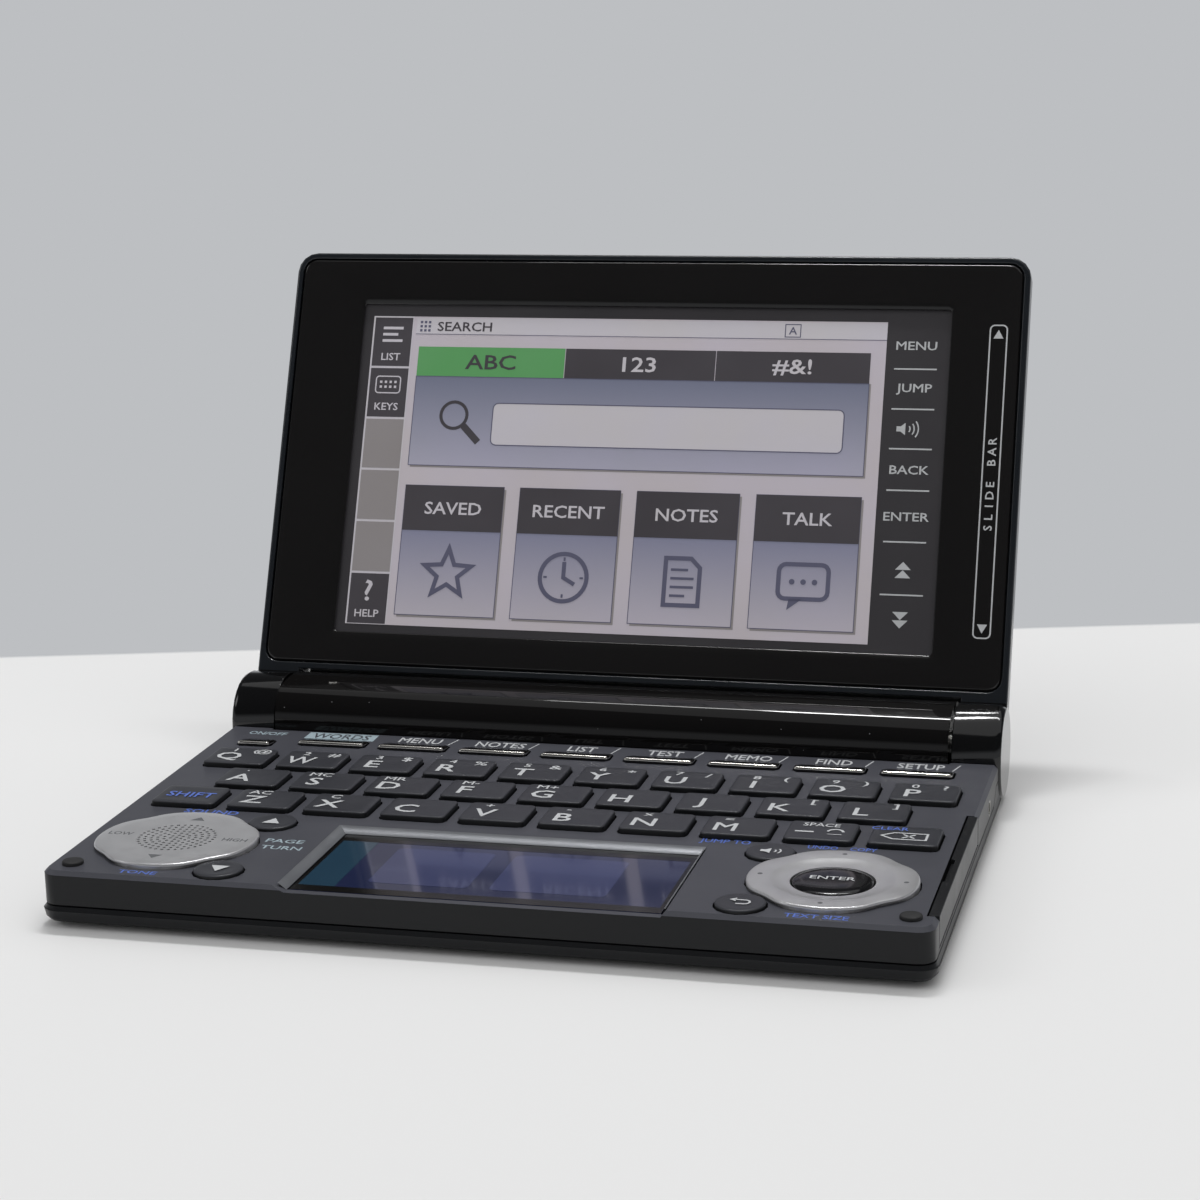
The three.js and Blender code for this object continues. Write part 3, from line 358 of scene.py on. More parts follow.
def addFaces(shape, points, faces, finish=0):
    start = len(shape["points"])
    shape["points"] += [tuple(p) for p in points]
    shape["faces"] += [tuple(start + i for i in face) for face in faces]
    shape["finish"] += [finish] * len(faces)


def addLoft(shape, rings, capped=True):
    count, last = len(rings[0]), len(rings) - 1
    faces = []
    for i in range(last):
        for j in range(count):
            k = (j + 1) % count
            low, high = i * count, (i + 1) * count
            faces.append((low + j, low + k, high + k, high + j))
    if capped:
        faces.append(tuple(reversed(range(count))))
        faces.append(tuple(last * count + j for j in range(count)))
    addFaces(shape, [p for ring in rings for p in ring], faces)


def boxRing(box, radius, inset, z, steps=6):
    left, front, right, back = box
    r = max(radius - inset, 0.05)
    corners = [
        (right - inset - r, back - inset - r), (left + inset + r, back - inset - r),
        (left + inset + r, front + inset + r), (right - inset - r, front + inset + r)]
    ring = []
    for quarter, (x, y) in enumerate(corners):
        for i in range(steps + 1):
            turn = (quarter + i / steps) * math.pi / 2
            ring.append((x + r * math.cos(turn), y + r * math.sin(turn), z))
    return ring


def roundRing(centre, radius, z, steps=64):
    ring = []
    for i in range(steps):
        turn = i / steps * math.tau
        r = radius(turn) if callable(radius) else radius
        ring.append((centre[0] + r * math.cos(turn), centre[1] + r * math.sin(turn), z))
    return ring


def quarterRound(edge, turns):
    # how far in and up a rounded edge has come at each turn in degrees
    return [(edge * (1 - math.cos(math.radians(t))), edge * math.sin(math.radians(t))) for t in turns]


def addPlate(shape, outline, z, finish):
    addFaces(shape, [(p[0], p[1], z) for p in outline], [tuple(range(len(outline)))], finish)


def addBar(shape, box, z, finish):
    left, front, right, back = box
    addPlate(shape, [(left, front), (right, front), (right, back), (left, back)], z, finish)


def addArrow(shape, x, y, form, way, z, finish):
    # a filled triangle that points up or down; its form is the half width, the foot and the tip
    half, foot, tip = form
    addPlate(shape, [(x - half * way, y + foot * way), (x + half * way, y + foot * way),
                     (x, y + tip * way)], z, finish)


def addStroke(shape, path, width, z, finish, closed=False):
    # a drawn line of even width, mitred at its corners
    points = [Vector(p[:2]) for p in path]
    count = len(points)
    sides = []
    for i, p in enumerate(points):
        before = points[i - 1] if i or closed else None
        after = points[(i + 1) % count] if i < count - 1 or closed else None
        a = (p - before).normalized() if before is not None else (after - p).normalized()
        b = (after - p).normalized() if after is not None else a
        mean = (a + b).normalized()
        across = Vector((-mean.y, mean.x)) * (width / 2 / max(mean.dot(a), 0.35))
        sides.append((p + across, p - across))
    faces = []
    for i in range(count if closed else count - 1):
        k = (i + 1) % count
        faces.append((2 * i, 2 * i + 1, 2 * k + 1, 2 * k))
    addFaces(shape, [(s.x, s.y, z) for pair in sides for s in pair], faces, finish)


def arcPath(x, y, radius, start, end, steps):
    turns = [math.radians(start + (end - start) * i / steps) for i in range(steps + 1)]
    return [(x + radius * math.cos(turn), y + radius * math.sin(turn)) for turn in turns]


def addSpeaker(shape, x, y, waves, reach, width, z, finish):
    # a small loudspeaker with sound waves of the given radii, each from -reach to reach degrees
    addPlate(shape, [(x - 1.7, y - 0.5), (x - 0.9, y - 0.5), (x, y - 1.2), (x, y + 1.2),
                     (x - 0.9, y + 0.5), (x - 1.7, y + 0.5)], z, finish)
    for radius in waves:
        addStroke(shape, arcPath(x, y, radius, -reach, reach, 8), width, z, finish)


def readCurve(curve, read):
    # the faces that fill a curve are read as a mesh, and the curve goes again
    carrier = addObject(curve.name, curve)
    solid = carrier.evaluated_get(bpy.context.evaluated_depsgraph_get())
    result = read(solid.to_mesh())
    solid.to_mesh_clear()
    bpy.data.objects.remove(carrier)
    bpy.data.curves.remove(curve)
    return result


# Letters, for a font one unit high: a capital's share of it, how far the outlines move out to make
# them bolder, and the distance under which their points are one
lettering = {"capital": 0.72, "bolder": 0.013, "merge": 0.006}
letterStore = {}


def boldFaces(mesh):
    shape = bmesh.new()
    shape.from_mesh(mesh)
    bmesh.ops.remove_doubles(shape, verts=shape.verts, dist=lettering["merge"])
    moves = []
    for point in shape.verts:
        outs = []
        for edge in point.link_edges:
            if edge.is_boundary:
                loop = edge.link_loops[0]
                along = (loop.link_loop_next.vert.co - loop.vert.co).normalized()
                outs.append(Vector((along.y, -along.x, 0)))
        if len(outs) == 2:
            mitre = max(1 + outs[0].dot(outs[1]), 0.5)
            moves.append((point, (outs[0] + outs[1]) * lettering["bolder"] / mitre))
    for point, move in moves:
        point.co += move
    shape.verts.index_update()
    points = [(v.co.x, v.co.y) for v in shape.verts]
    faces = [tuple(v.index for v in f.verts) for f in shape.faces]
    shape.free()
    return points, faces


def letterShape(text):
    # flat letters from Blender's own plain font, about their middle
    if text not in letterStore:
        curve = bpy.data.curves.new("letters", "FONT")
        curve.body, curve.resolution_u = text, 2
        points, faces = readCurve(curve, boldFaces)
        xs, ys = zip(*points)
        middle = middleOf((min(xs), min(ys)), (max(xs), max(ys)))
        letterStore[text] = [(x - middle[0], y - middle[1]) for x, y in points], faces
    return letterStore[text]


def addText(shape, text, centre, height, z, finish, wide=1.0, turn=0.0):
    points, faces = letterShape(text)
    size = height / lettering["capital"]
    c, s = math.cos(math.radians(turn)), math.sin(math.radians(turn))
    placed = []
    for x, y in points:
        u, v = x * wide * size, y * size
        placed.append((centre[0] + u * c - v * s, centre[1] + u * s + v * c, z))
    addFaces(shape, placed, faces, finish)


# Edges that bend more than this, in degrees, stay crisp on nodes and pieces, or are softened by a bevel
crisp = {"node": 34, "piece": 38, "bevel": 40}
edgeWidths = {
    "base_upper_case": 0.12, "base_lower_case": 0.15, "battery_barrel": 0.3, "battery_cover": 0.08,
    "lid_back_shell": 0.15, "lid_front_bezel": 0.22, "touch_pen": 0.12}


def onLid(x, v, d):
    # the lid is drawn flat, with x along the hinge, v up from it and d towards the reader
    return (x, hinge["y"] + v * leanY - d * leanZ, hinge["z"] + v * leanZ + d * leanY)


def makePiece(name, shape, finishes, body, replaces=()):
    mesh = bpy.data.meshes.new(name)
    points = [onLid(*p) if body == "lid" else p for p in shape["points"]]
    mesh.from_pydata([Vector(p) * mm for p in points], [], shape["faces"])
    for finish in finishes:
        mesh.materials.append(finish)
    mesh.polygons.foreach_set("material_index", shape["finish"])
    mesh.polygons.foreach_set("use_smooth", [True] * len(mesh.polygons))
    mesh.set_sharp_from_angle(angle=math.radians(crisp["piece"]))
    mesh.update()
    piece = addObject(name, mesh)
    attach(piece, body)
    if replaces:
        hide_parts(*replaces)


def makeCap(node, shape, finishes):
    # a cap is named after the solid that it stands for
    makePiece(node + "_cap", shape, finishes, node, replaces=[node])


# CAD nodes keep their shapes; each takes its finish, softened edges and clean shading
nodeFinishes = {
    "base_upper_case": deckAbs, "base_lower_case": lowerAbs, "battery_barrel": glossAbs,
    "battery_cover": glossAbs, "battery_cell_left": cellFilm, "battery_cell_right": cellFilm,
    "hinge_unit_left": turnedSteel, "hinge_unit_right": turnedSteel, "main_board": boardMask,
    "key_mat": siliconeMat, "lower_screen": padGlass, "touch_pen": lowerAbs,
    "lid_back_shell": lidLacquer, "lid_front_bezel": frameAbs, "main_screen": filmGrey,
    "speaker_pad": silverLacquer, "ring_pad": silverLacquer, "centre_button": pianoAbs}


def smoothShading(angle):
    # faces shade smoothly and only edges sharper than the angle stay crisp
    tree = bpy.data.node_groups.new("smoothShading", "GeometryNodeTree")
    for way in ("INPUT", "OUTPUT"):
        tree.interface.new_socket("Geometry", in_out=way, socket_type="NodeSocketGeometry")
    start = addNode(tree, "NodeGroupInput")
    plain = addNode(tree, "GeometryNodeRemoveAttribute", {0: start, "Name": "custom_normal"})
    faces = addNode(tree, "GeometryNodeSetShadeSmooth", {0: plain, "Shade Smooth": True}, domain="FACE")
    bend = addNode(tree, "GeometryNodeInputMeshEdgeAngle")
    soft = addNode(tree, "FunctionNodeCompare", {0: bend, 1: math.radians(angle)}, operation="LESS_THAN")
    edges = addNode(tree, "GeometryNodeSetShadeSmooth", {0: faces, "Shade Smooth": soft}, domain="EDGE")
    addNode(tree, "NodeGroupOutput", {0: edges})
    return tree


smoothGroup = smoothShading(crisp["node"])
for name, node in nodes.items():
    finish = nodeFinishes.get(name, pianoAbs if "function" in name or name == "key_power" else keyAbs)
    if not node.material_slots:
        node.data.materials.append(finish)
    for slot in node.material_slots:
        slot.material = finish
    weld = node.modifiers.new("weld", "WELD")
    weld.merge_threshold = 0.002 * mm
    node.modifiers.new("smooth", "NODES").node_group = smoothGroup
    if name in edgeWidths:
        soften = node.modifiers.new("soften", "BEVEL")
        soften.width, soften.segments = edgeWidths[name] * mm, 2
        soften.limit_method, soften.angle_limit = "ANGLE", math.radians(crisp["bevel"])
    node.modifiers.new("shade", "WEIGHTED_NORMAL").keep_sharp = True
print("nodes dressed")


def capRings(section, top, look, turns, dips=()):
    # up the skirt, round the edge and inwards; a section is a ring at an inset and a height, and a
    # dip is an inset and how far the top lies below the edge there
    edge = look["edge"]
    rings = [section(0, top - look["skirt"]), section(0, top - edge)]
    rings += [section(inset, top - edge + rise) for inset, rise in quarterRound(edge, turns)]
    return rings + [section(inset, top - dip) for inset, dip in dips]


def capBox(node, flange):
    # the outline above the deck, inside the flange that holds the key under it, and the top
    low, high = boxOf(node)
    return (low[0] + flange, low[1] + flange, high[0] - flange, high[1] - flange), high[2]


# Letter keys: a cap with a rounded edge and a slightly dished top, and its printed marks
keyCap = {
    "flange": 0.4, "skirt": 1.6, "corner": 1.0, "edge": 0.35, "dish": 0.12,
    "letter": 4.1, "letterWide": 1.1, "letterPlace": (-2.1, -0.9),
    "small": 1.9, "smallWide": 1.15, "smallPlace": (-2.1, 3.1),
    "second": 2.185, "secondWide": 1.25, "secondPlace": (3.3, 2.7),
    "ridgeHalf": 1.2, "ridgeFront": 1.1, "ridgeBack": 1.5}
narrower = {"w": 0.8, "m": 0.92}
smallSigns = dict(zip("qwertyuiop", "1234567890"), a=".", s="MC", d="MR", f="M-", g="M+", z="AC",
                  x="C", v="+", b="-", n="x", m="=")
secondSigns = dict(zip("qwertyuiopkl", "@#$%&*/()?[]"))
# Words on the other keys: text, place from the key's middle, height, width and finish
keyWords = {"shift": [("SHIFT", (0.1, -0.2), 2.7, 0.95, 2)],
            "dash": [("_", (2.4, -1.7), 2.2, 1.5, 1), ("SPACE", (-0.4, 2.9), 1.7, 0.95, 1)],
            "delete": [("CLEAR", (-3, 3.1), 1.6, 0.95, 2)]}
# Their drawn signs: path, line width, and whether it is closed
keySigns = {
    "dash": [([(-4.4, -0.9), (-1.2, -0.9)], 0.6, False), (arcPath(2.4, -0.4, 1.3, 0, 180, 12), 0.45, False)],
    "delete": [([(-4, -0.6), (-2, 1), (3.6, 1), (3.6, -2.2), (-2, -2.2)], 0.4, True),
               ([(-0.4, -1.5), (1.6, 0.3)], 0.4, False), ([(-0.4, 0.3), (1.6, -1.5)], 0.4, False)]}


def letterWords(mark):
    # a letter key has its letter, a small sign over it and mostly a second sign at the right
    words = [(mark.upper(), keyCap["letterPlace"], keyCap["letter"],
              keyCap["letterWide"] * narrower.get(mark, 1), 1)]
    for signs, kind in ((smallSigns, "small"), (secondSigns, "second")):
        if mark in signs:
            words.append((signs[mark], keyCap[kind + "Place"], keyCap[kind], keyCap[kind + "Wide"], 1))
    return words


def makeLetterKey(node):
    box, top = capBox(node, keyCap["flange"])
    section = lambda inset, z: boxRing(box, keyCap["corner"], inset, z)
    edge, depth = keyCap["edge"], min(box[2] - box[0], box[3] - box[1]) / 2
    dips = [(edge + (depth - edge) * share * 0.96, keyCap["dish"] * share)
            for share in (0.25, 0.5, 0.75, 0.97)]
    shape = newShape()
    addLoft(shape, capRings(section, top, keyCap, (30, 60, 90), dips))
    x, y = middleOf(box[:2], box[2:])
    z = top + lift["key"]
    mark = node.split("_")[1]
    for text, place, height, wide, finish in keyWords.get(mark) or letterWords(mark):
        addText(shape, text, (x + place[0], y + place[1]), height, z, finish, wide)
    for path, width, closed in keySigns.get(mark, ()):
        addStroke(shape, [(x + u, y + v) for u, v in path], width, z, 1, closed)
    if mark in "fj":
        # a low ridge for the fingertips
        ridge = (x - keyCap["ridgeHalf"], box[1] + keyCap["ridgeFront"],
                 x + keyCap["ridgeHalf"], box[1] + keyCap["ridgeBack"])
        addLoft(shape, [boxRing(ridge, 0.2, 0, top - 0.1, 3), boxRing(ridge, 0.2, 0.12, top - 0.01, 3)])
    makeCap(node, shape, [keyAbs, whiteInk, blueInk])


letterNodes = [n for n in nodes if n.startswith("key_") and len(n) == 5]
for node in letterNodes + ["key_shift", "key_dash", "key_delete"]:
    makeLetterKey(node)

# Function keys: polished wedges, high at the front and falling back to the deck, with a plated bead
functionCap = {"flange": 0.4, "skirt": 1.6, "corner": 0.6, "edge": 0.5, "fall": 0.8, "crown": 0.05,
               "plateEnd": 3}


def makeFunctionKey(node):
    box, top = capBox(node, functionCap["flange"])
    front, right, depth = box[1], box[2], box[3] - box[1]
    corner, edge = functionCap["corner"], functionCap["edge"]
    fallen = lambda y: top - functionCap["fall"] * (max(y - front, 0) / depth) ** 1.3
    section = lambda inset, z: [(x, y, z + fallen(y)) for x, y, z in boxRing(box, corner, inset, z)]
    dips = [(edge + (depth / 2 - edge) * share, -functionCap["crown"] * share) for share in (0.3, 0.6, 0.9)]
    shape = newShape()
    addLoft(shape, capRings(section, 0, functionCap, (22, 45, 67, 90), dips))
    # the plating covers the rounded front edge and turns round its right end
    for i, face in enumerate(shape["faces"]):
        x, y, z = (sum(shape["points"][p][k] for p in face) / len(face) for k in range(3))
        ahead = y < front + edge or (x > right - edge and y < front + functionCap["plateEnd"])
        if ahead and z - fallen(y) > -edge:
            shape["finish"][i] = 1
    makeCap(node, shape, [pianoAbs, chromePlate])


for node in ["key_power"] + [f"key_function_{i}" for i in range(1, 9)]:
    makeFunctionKey(node)

# Round keys: low caps with an icon each
roundCap = {"flange": 0.4, "radius": 4.1, "edge": 0.35, "dish": 0.15, "skirt": 1.2, "arrow": (1.6, -1.2, 1.5)}


def makeRoundKey(node, drawIcon):
    low, high = boxOf(node)
    top, r, edge = high[2], roundCap["radius"], roundCap["edge"]
    centre = (middleOf(low, high)[0], high[1] - roundCap["flange"] - r)
    section = lambda inset, z: roundRing(centre, r - inset, z)
    dips = [(edge + (r - edge) * share, roundCap["dish"] * math.sin(share * math.pi / 2))
            for share in (0.3, 0.6, 0.95)]
    shape = newShape()
    addLoft(shape, capRings(section, top, roundCap, (30, 60, 90), dips))
    drawIcon(shape, *centre, top + lift["key"])
    makeCap(node, shape, [keyAbs, whiteInk])


def upIcon(shape, x, y, z):
    addArrow(shape, x, y, roundCap["arrow"], 1, z, 1)


def downIcon(shape, x, y, z):
    addArrow(shape, x, y, roundCap["arrow"], -1, z, 1)


def voiceIcon(shape, x, y, z):
    addSpeaker(shape, x, y, (0.9, 1.7), 40, 0.3, z, 1)


def backIcon(shape, x, y, z):
    hook = [(x - 0.6, y - 0.9)] + arcPath(x + 0.6, y, 0.9, -90, 90, 10) + [(x - 1, y + 0.9)]
    addStroke(shape, hook, 0.35, z, 1)
    addPlate(shape, [(x - 1.9, y + 0.9), (x - 0.8, y + 0.1), (x - 0.8, y + 1.7)], z, 1)


for node, icon in {"key_page_up": upIcon, "key_page_down": downIcon,
                   "key_voice": voiceIcon, "key_back": backIcon}.items():
    makeRoundKey(node, icon)
print("keys made")


# Pads: four-lobed caps in silver lacquer
pad = {"flange": 0.5, "notch": 1.5, "rimNotch": 0.75, "rimHeight": 0.45, "rimLip": 0.06, "edge": 0.4,
       "skirt": 1.4, "steps": 160}


def padPlace(node):
    low, high = boxOf(node)
    return middleOf(low, high), (high[0] - low[0]) / 2 - pad["flange"], high[2]


def lobed(radius):
    # the outline seen from above: a circle with four short shallow notches
    return lambda turn: radius - pad["rimNotch"] * math.sin(2 * turn) ** 10


def padSide(centre, radius, top):
    # the foot has the lobes of its opening; above the deck the rim spreads over them
    rim, edge, steps = top - pad["rimHeight"], pad["edge"], pad["steps"]
    foot = lambda turn: radius - pad["notch"] * math.sin(2 * turn) ** 4
    rings = [roundRing(centre, foot, top - pad["skirt"], steps),
             roundRing(centre, foot, rim - pad["rimLip"], steps),
             roundRing(centre, lobed(radius), rim, steps)]
    for inset, rise in quarterRound(edge, (0, 22, 45, 67, 90)):
        rings.append(roundRing(centre, lobed(radius - inset), top - edge + rise, steps))
    return rings


def padTop(centre, radius, top, inner, shares):
    # level rings that pass from the lobed outline into a circle
    outline = lobed(radius - pad["edge"])
    blend = lambda share: lambda turn: outline(turn) * (1 - share) + inner * share
    return [roundRing(centre, blend(share), top, pad["steps"]) for share in shares]


def pierced(outline, holes, depth):
    # a flat plate with holes, filled by a 2-D curve, with its top at height 0
    curve = bpy.data.curves.new("pierced", "CURVE")
    curve.dimensions, curve.fill_mode, curve.extrude = "2D", "BOTH", depth / 2
    for loop in [outline] + holes:
        spline = curve.splines.new("POLY")
        spline.points.add(len(loop) - 1)
        spline.use_cyclic_u = True
        for point, (x, y, z) in zip(spline.points, loop):
            point.co = (x, y, z, 1)
    return readCurve(curve, lambda mesh: (
        [(v.co.x, v.co.y, v.co.z - depth / 2) for v in mesh.vertices],
        [tuple(p.vertices) for p in mesh.polygons]))


# The speaker pad's grille has a middle hole and rings of holes, six more on each
grille = {"radius": 7.3, "skin": 1.1, "hole": 0.3, "pitch": 1.08, "rings": 6, "behind": 0.02,
          "wordPlace": (10.3, 0.4), "word": 1.5, "wordWide": 0.9, "arrowPlace": 10.9, "arrow": (1.3, -1.8, 0)}


def makeSpeakerPad():
    centre, radius, top = padPlace("speaker_pad")
    x, y = centre
    shape = newShape()
    rings = padSide(centre, radius, top) + padTop(centre, radius, top, grille["radius"], (0.3, 0.65, 1))
    addLoft(shape, rings, capped=False)
    places = [(0, 0)]
    for row in range(1, grille["rings"] + 1):
        for i in range(6 * row):
            turn = (i + row / 2) / (6 * row) * math.tau
            places.append((row * grille["pitch"] * math.cos(turn), row * grille["pitch"] * math.sin(turn)))
    points, faces = pierced(roundRing((0, 0), grille["radius"], 0, pad["steps"]),
                            [roundRing(place, grille["hole"], 0, 12) for place in places], grille["skin"])
    addFaces(shape, [(x + u, y + v, top + w) for u, v, w in points], faces)
    # a black plate just under the grille: painted shade behind the holes
    addPlate(shape, roundRing(centre, grille["radius"] - 0.1, 0), top - grille["skin"] - grille["behind"], 2)
    z = top + lift["key"]
    for text, side in (("LOW", -1), ("HIGH", 1)):
        place = (x + side * grille["wordPlace"][0], y + grille["wordPlace"][1])
        addText(shape, text, place, grille["word"], z, 1, grille["wordWide"])
        addArrow(shape, x, y + side * grille["arrowPlace"], grille["arrow"], side, z, 1)
    makeCap("speaker_pad", shape, [silverLacquer, greyInk, blackRubberAndShade])


# The ring pad dips towards the button; its measures run inwards from the outline
ringPad = {"outer": 3.7, "inner": 7.0, "dip": 0.6, "dipSteps": 8, "dotPlace": 2.1, "dot": 0.42}


def makeRingPad():
    centre, radius, top = padPlace("ring_pad")
    outer, inner = radius - ringPad["outer"], radius - ringPad["inner"]
    steps = ringPad["dipSteps"]
    rings = padSide(centre, radius, top) + padTop(centre, radius, top, outer, (0.5, 0.97))
    for share in [step / steps for step in range(1, steps + 1)]:
        # the dip is a smooth quarter wave
        depth = ringPad["dip"] * math.sin(share * math.pi / 2)
        rings.append(roundRing(centre, outer + (inner - outer) * share, top - depth, pad["steps"]))
    rings.append(roundRing(centre, inner, top - pad["skirt"], pad["steps"]))
    shape = newShape()
    addLoft(shape, rings, capped=False)
    for spot in roundRing(centre, radius - ringPad["dotPlace"], 0, 4):
        addPlate(shape, roundRing(spot, ringPad["dot"], 0, 20), top + lift["key"], 1)
    makeCap("ring_pad", shape, [silverLacquer, greyInk])


# Centre button: a low dome with one word
button = {"flange": 0.5, "skirt": 1.9, "shoulder": 0.75, "rise": 0.73, "fullness": 0.6, "word": 1.5,
          "wordWide": 1.2}


def makeCentreButton():
    low, high = boxOf("centre_button")
    centre, top = middleOf(low, high), high[2]
    radius, shoulder = (high[0] - low[0]) / 2 - button["flange"], top - button["shoulder"]
    rings = [roundRing(centre, radius, top - button["skirt"]), roundRing(centre, radius, shoulder)]
    for turn in range(15, 91, 15):
        a = math.radians(turn)
        reach = max(radius * math.cos(a) ** button["fullness"], 0.02)
        rings.append(roundRing(centre, reach, shoulder + button["rise"] * math.sin(a)))
    shape = newShape()
    addLoft(shape, rings)
    addText(shape, "ENTER", centre, button["word"], top, 1, button["wordWide"])
    makeCap("centre_button", shape, [pianoAbs, whiteInk])


makeSpeakerPad()
makeRingPad()
makeCentreButton()
print("pads made")


# Printed marks on the deck, in the part's frame. Words have a place, a height and a width;
# a function label has its place in y, its height and its width
deckMarks = {
    "deck": 9.85,
    "pale": [("ON/OFF", (-65.2, 12.6), 2.0, 0.75), ("PAGE", (-38.9, -48.2), 1.8, 1.15),
             ("TURN", (-38.4, -51.6), 1.8, 1.1)],
    "blue": [("SOUND", (-57.4, -35.3), 1.9, 1.1), ("TONE", (-57.4, -67.7), 1.5, 1.2),
             ("JUMP TO", (34.3, -35.1), 1.9, 0.82), ("UNDO", (50.8, -35.0), 1.7, 0.72),
             ("COPY", (57.6, -35.0), 1.7, 0.72), ("TEXT SIZE", (55.4, -67.7), 1.7, 0.95)],
    "functions": ["WORDS", "MENU", "NOTES", "LIST", "TEST", "MEMO", "FIND", "SETUP"],
    "functionLine": (12.75, 3.1, 0.72), "firstBox": (6.9, 2), "divider": [(5.9, -1.9), (6.9, 1.9)],
    "dividerWidth": 0.25}


def makeDeckMarks():
    deck = deckMarks["deck"] + lift["plate"]
    shape = newShape()
    for finish, kind in enumerate(("pale", "blue")):
        for text, place, height, wide in deckMarks[kind]:
            addText(shape, text, place, height, deck, finish, wide)
    y, height, wide = deckMarks["functionLine"]
    for i, text in enumerate(deckMarks["functions"]):
        x = middleOf(*boxOf(f"key_function_{i + 1}"))[0]
        if i:
            addText(shape, text, (x, y), height, deck, 3, wide)
            divider = [(x + u, y + v) for u, v in deckMarks["divider"]]
            addStroke(shape, divider, deckMarks["dividerWidth"], deck, 3)
        else:
            # the first label is reversed out of a light box
            half, tall = deckMarks["firstBox"]
            addBar(shape, (x - half, y - tall, x + half, y + tall), deck, 0)
            addText(shape, text, (x, y), height, deck + lift["plate"], 2, wide)
    makePiece("deck_marks", shape, [paleInk, blueInk, deckAbs, whiteInk], "base")


makeDeckMarks()


# Silver border of the lower screen: a thin lacquered slope on three sides
border = {"wide": 1.3, "narrow": 0.3, "drop": 1.0, "skin": 0.04, "gap": 0.3, "front": -68.6, "lip": 0.25}


def makeBorder():
    low, high = boxOf("lower_screen")
    gap, narrow, wide, lip = (border[k] for k in ("gap", "narrow", "wide", "lip"))
    deep = high[2] + border["skin"]
    deck = deep + border["drop"]
    left, right, back = low[0] - gap, high[0] + gap, high[1] + gap
    # three lines round the screen: the slope's foot, its top and a narrow lip on the deck
    lines = [(left, right, back, deep), (left - wide, right + narrow, back + wide, deck),
             (left - wide - lip, right + narrow + lip, back + wide + lip, deck)]
    points = []
    for x0, x1, y, z in lines:
        points += [(x0, border["front"], z), (x0, y, z), (x1, y, z), (x1, border["front"], z)]
    faces = [(a, a + 4, a + 5, a + 1) for a in (0, 1, 2, 4, 5, 6)]
    shape = newShape()
    addFaces(shape, points, faces)
    makePiece("lower_screen_border", shape, [trimLacquer], "base")


makeBorder()


# Lower screen: a black printed frame round the display, pale unlit panels and a teal strip at the left
lowerPanels = {"view": (-30.2, -65.6, 30.2, -43.2), "panels": [(-19.5, -2.5), (1.0, 20.5)],
               "panelFront": 3, "panelBack": 2, "panelCorner": 1.2, "strip": -24.0}


def makeLowerPanels():
    low, high = boxOf("lower_screen")
    z = high[2] + lift["plate"]
    left, front, right, back = lowerPanels["view"]
    shape = newShape()
    for box in ((low[0], low[1], high[0], front), (low[0], back, high[0], high[1]),
                (low[0], front, left, back), (right, front, high[0], back)):
        addBar(shape, box, z, 1)
    addBar(shape, (left, front, lowerPanels["strip"], back), z, 2)
    for x0, x1 in lowerPanels["panels"]:
        box = (x0, front + lowerPanels["panelFront"], x1, back - lowerPanels["panelBack"])
        addPlate(shape, boxRing(box, lowerPanels["panelCorner"], 0, 0, 5), z, 0)
    makePiece("lower_screen_panels", shape, [padGlassPale, frameInk, padGlassTeal], "base")


makeLowerPanels()


# Main screen: the lit panel's page, drawn as thin flat layers. u runs right and w down from its top left
page = {"left": -57.0, "right": 47.1, "low": 19.6, "high": 82.5, "face": -2.75, "layer": 0.03,
        "column": 8.5, "cells": 6, "header": 3.6, "tabs": (10.0, 101.2, 6.2, 12.3), "panelEnd": 30.5,
        "field": (26.6, 96.8, 17.6, 26.1), "cards": (34.6, 60.7), "cardHead": 9.1,
        "cardCount": 4, "cardGap": 3.3, "thin": 0.14, "bold": 0.85}


def pagePoint(u, w):
    return (page["left"] + u, page["high"] - w)


def layerHeight(layer):
    return page["face"] + layer * page["layer"]


def pageBar(shape, u0, u1, w0, w1, layer, finish):
    left, high = pagePoint(u0, w0)
    right, low = pagePoint(u1, w1)
    addBar(shape, (left, low, right, high), layerHeight(layer), finish)


def pagePlate(shape, path, layer, finish):
    # w runs down, so the path is turned round for its face to look at the reader
    addPlate(shape, [pagePoint(*p[:2]) for p in reversed(path)], layerHeight(layer), finish)


def pageText(shape, text, u, w, height, layer, finish, wide=1.1):
    addText(shape, text, pagePoint(u, w), height, layerHeight(layer), finish, wide)


def pageLine(shape, path, width, layer, finish, closed=False):
    addStroke(shape, [pagePoint(*p[:2]) for p in path], width, layerHeight(layer), finish, closed)


def pageRules(shape, u, w, lengths, pitch, thick, layer, finish):
    # short bars one under the other
    for i, length in enumerate(lengths):
        pageBar(shape, u, u + length, w + i * pitch, w + i * pitch + thick, layer, finish)


def boxPath(u0, u1, w0, w1, r=0.0):
    if r:
        return boxRing((u0, w0, u1, w1), r, 0, 0, 4)
    return [(u0, w1), (u1, w1), (u1, w0), (u0, w0)]


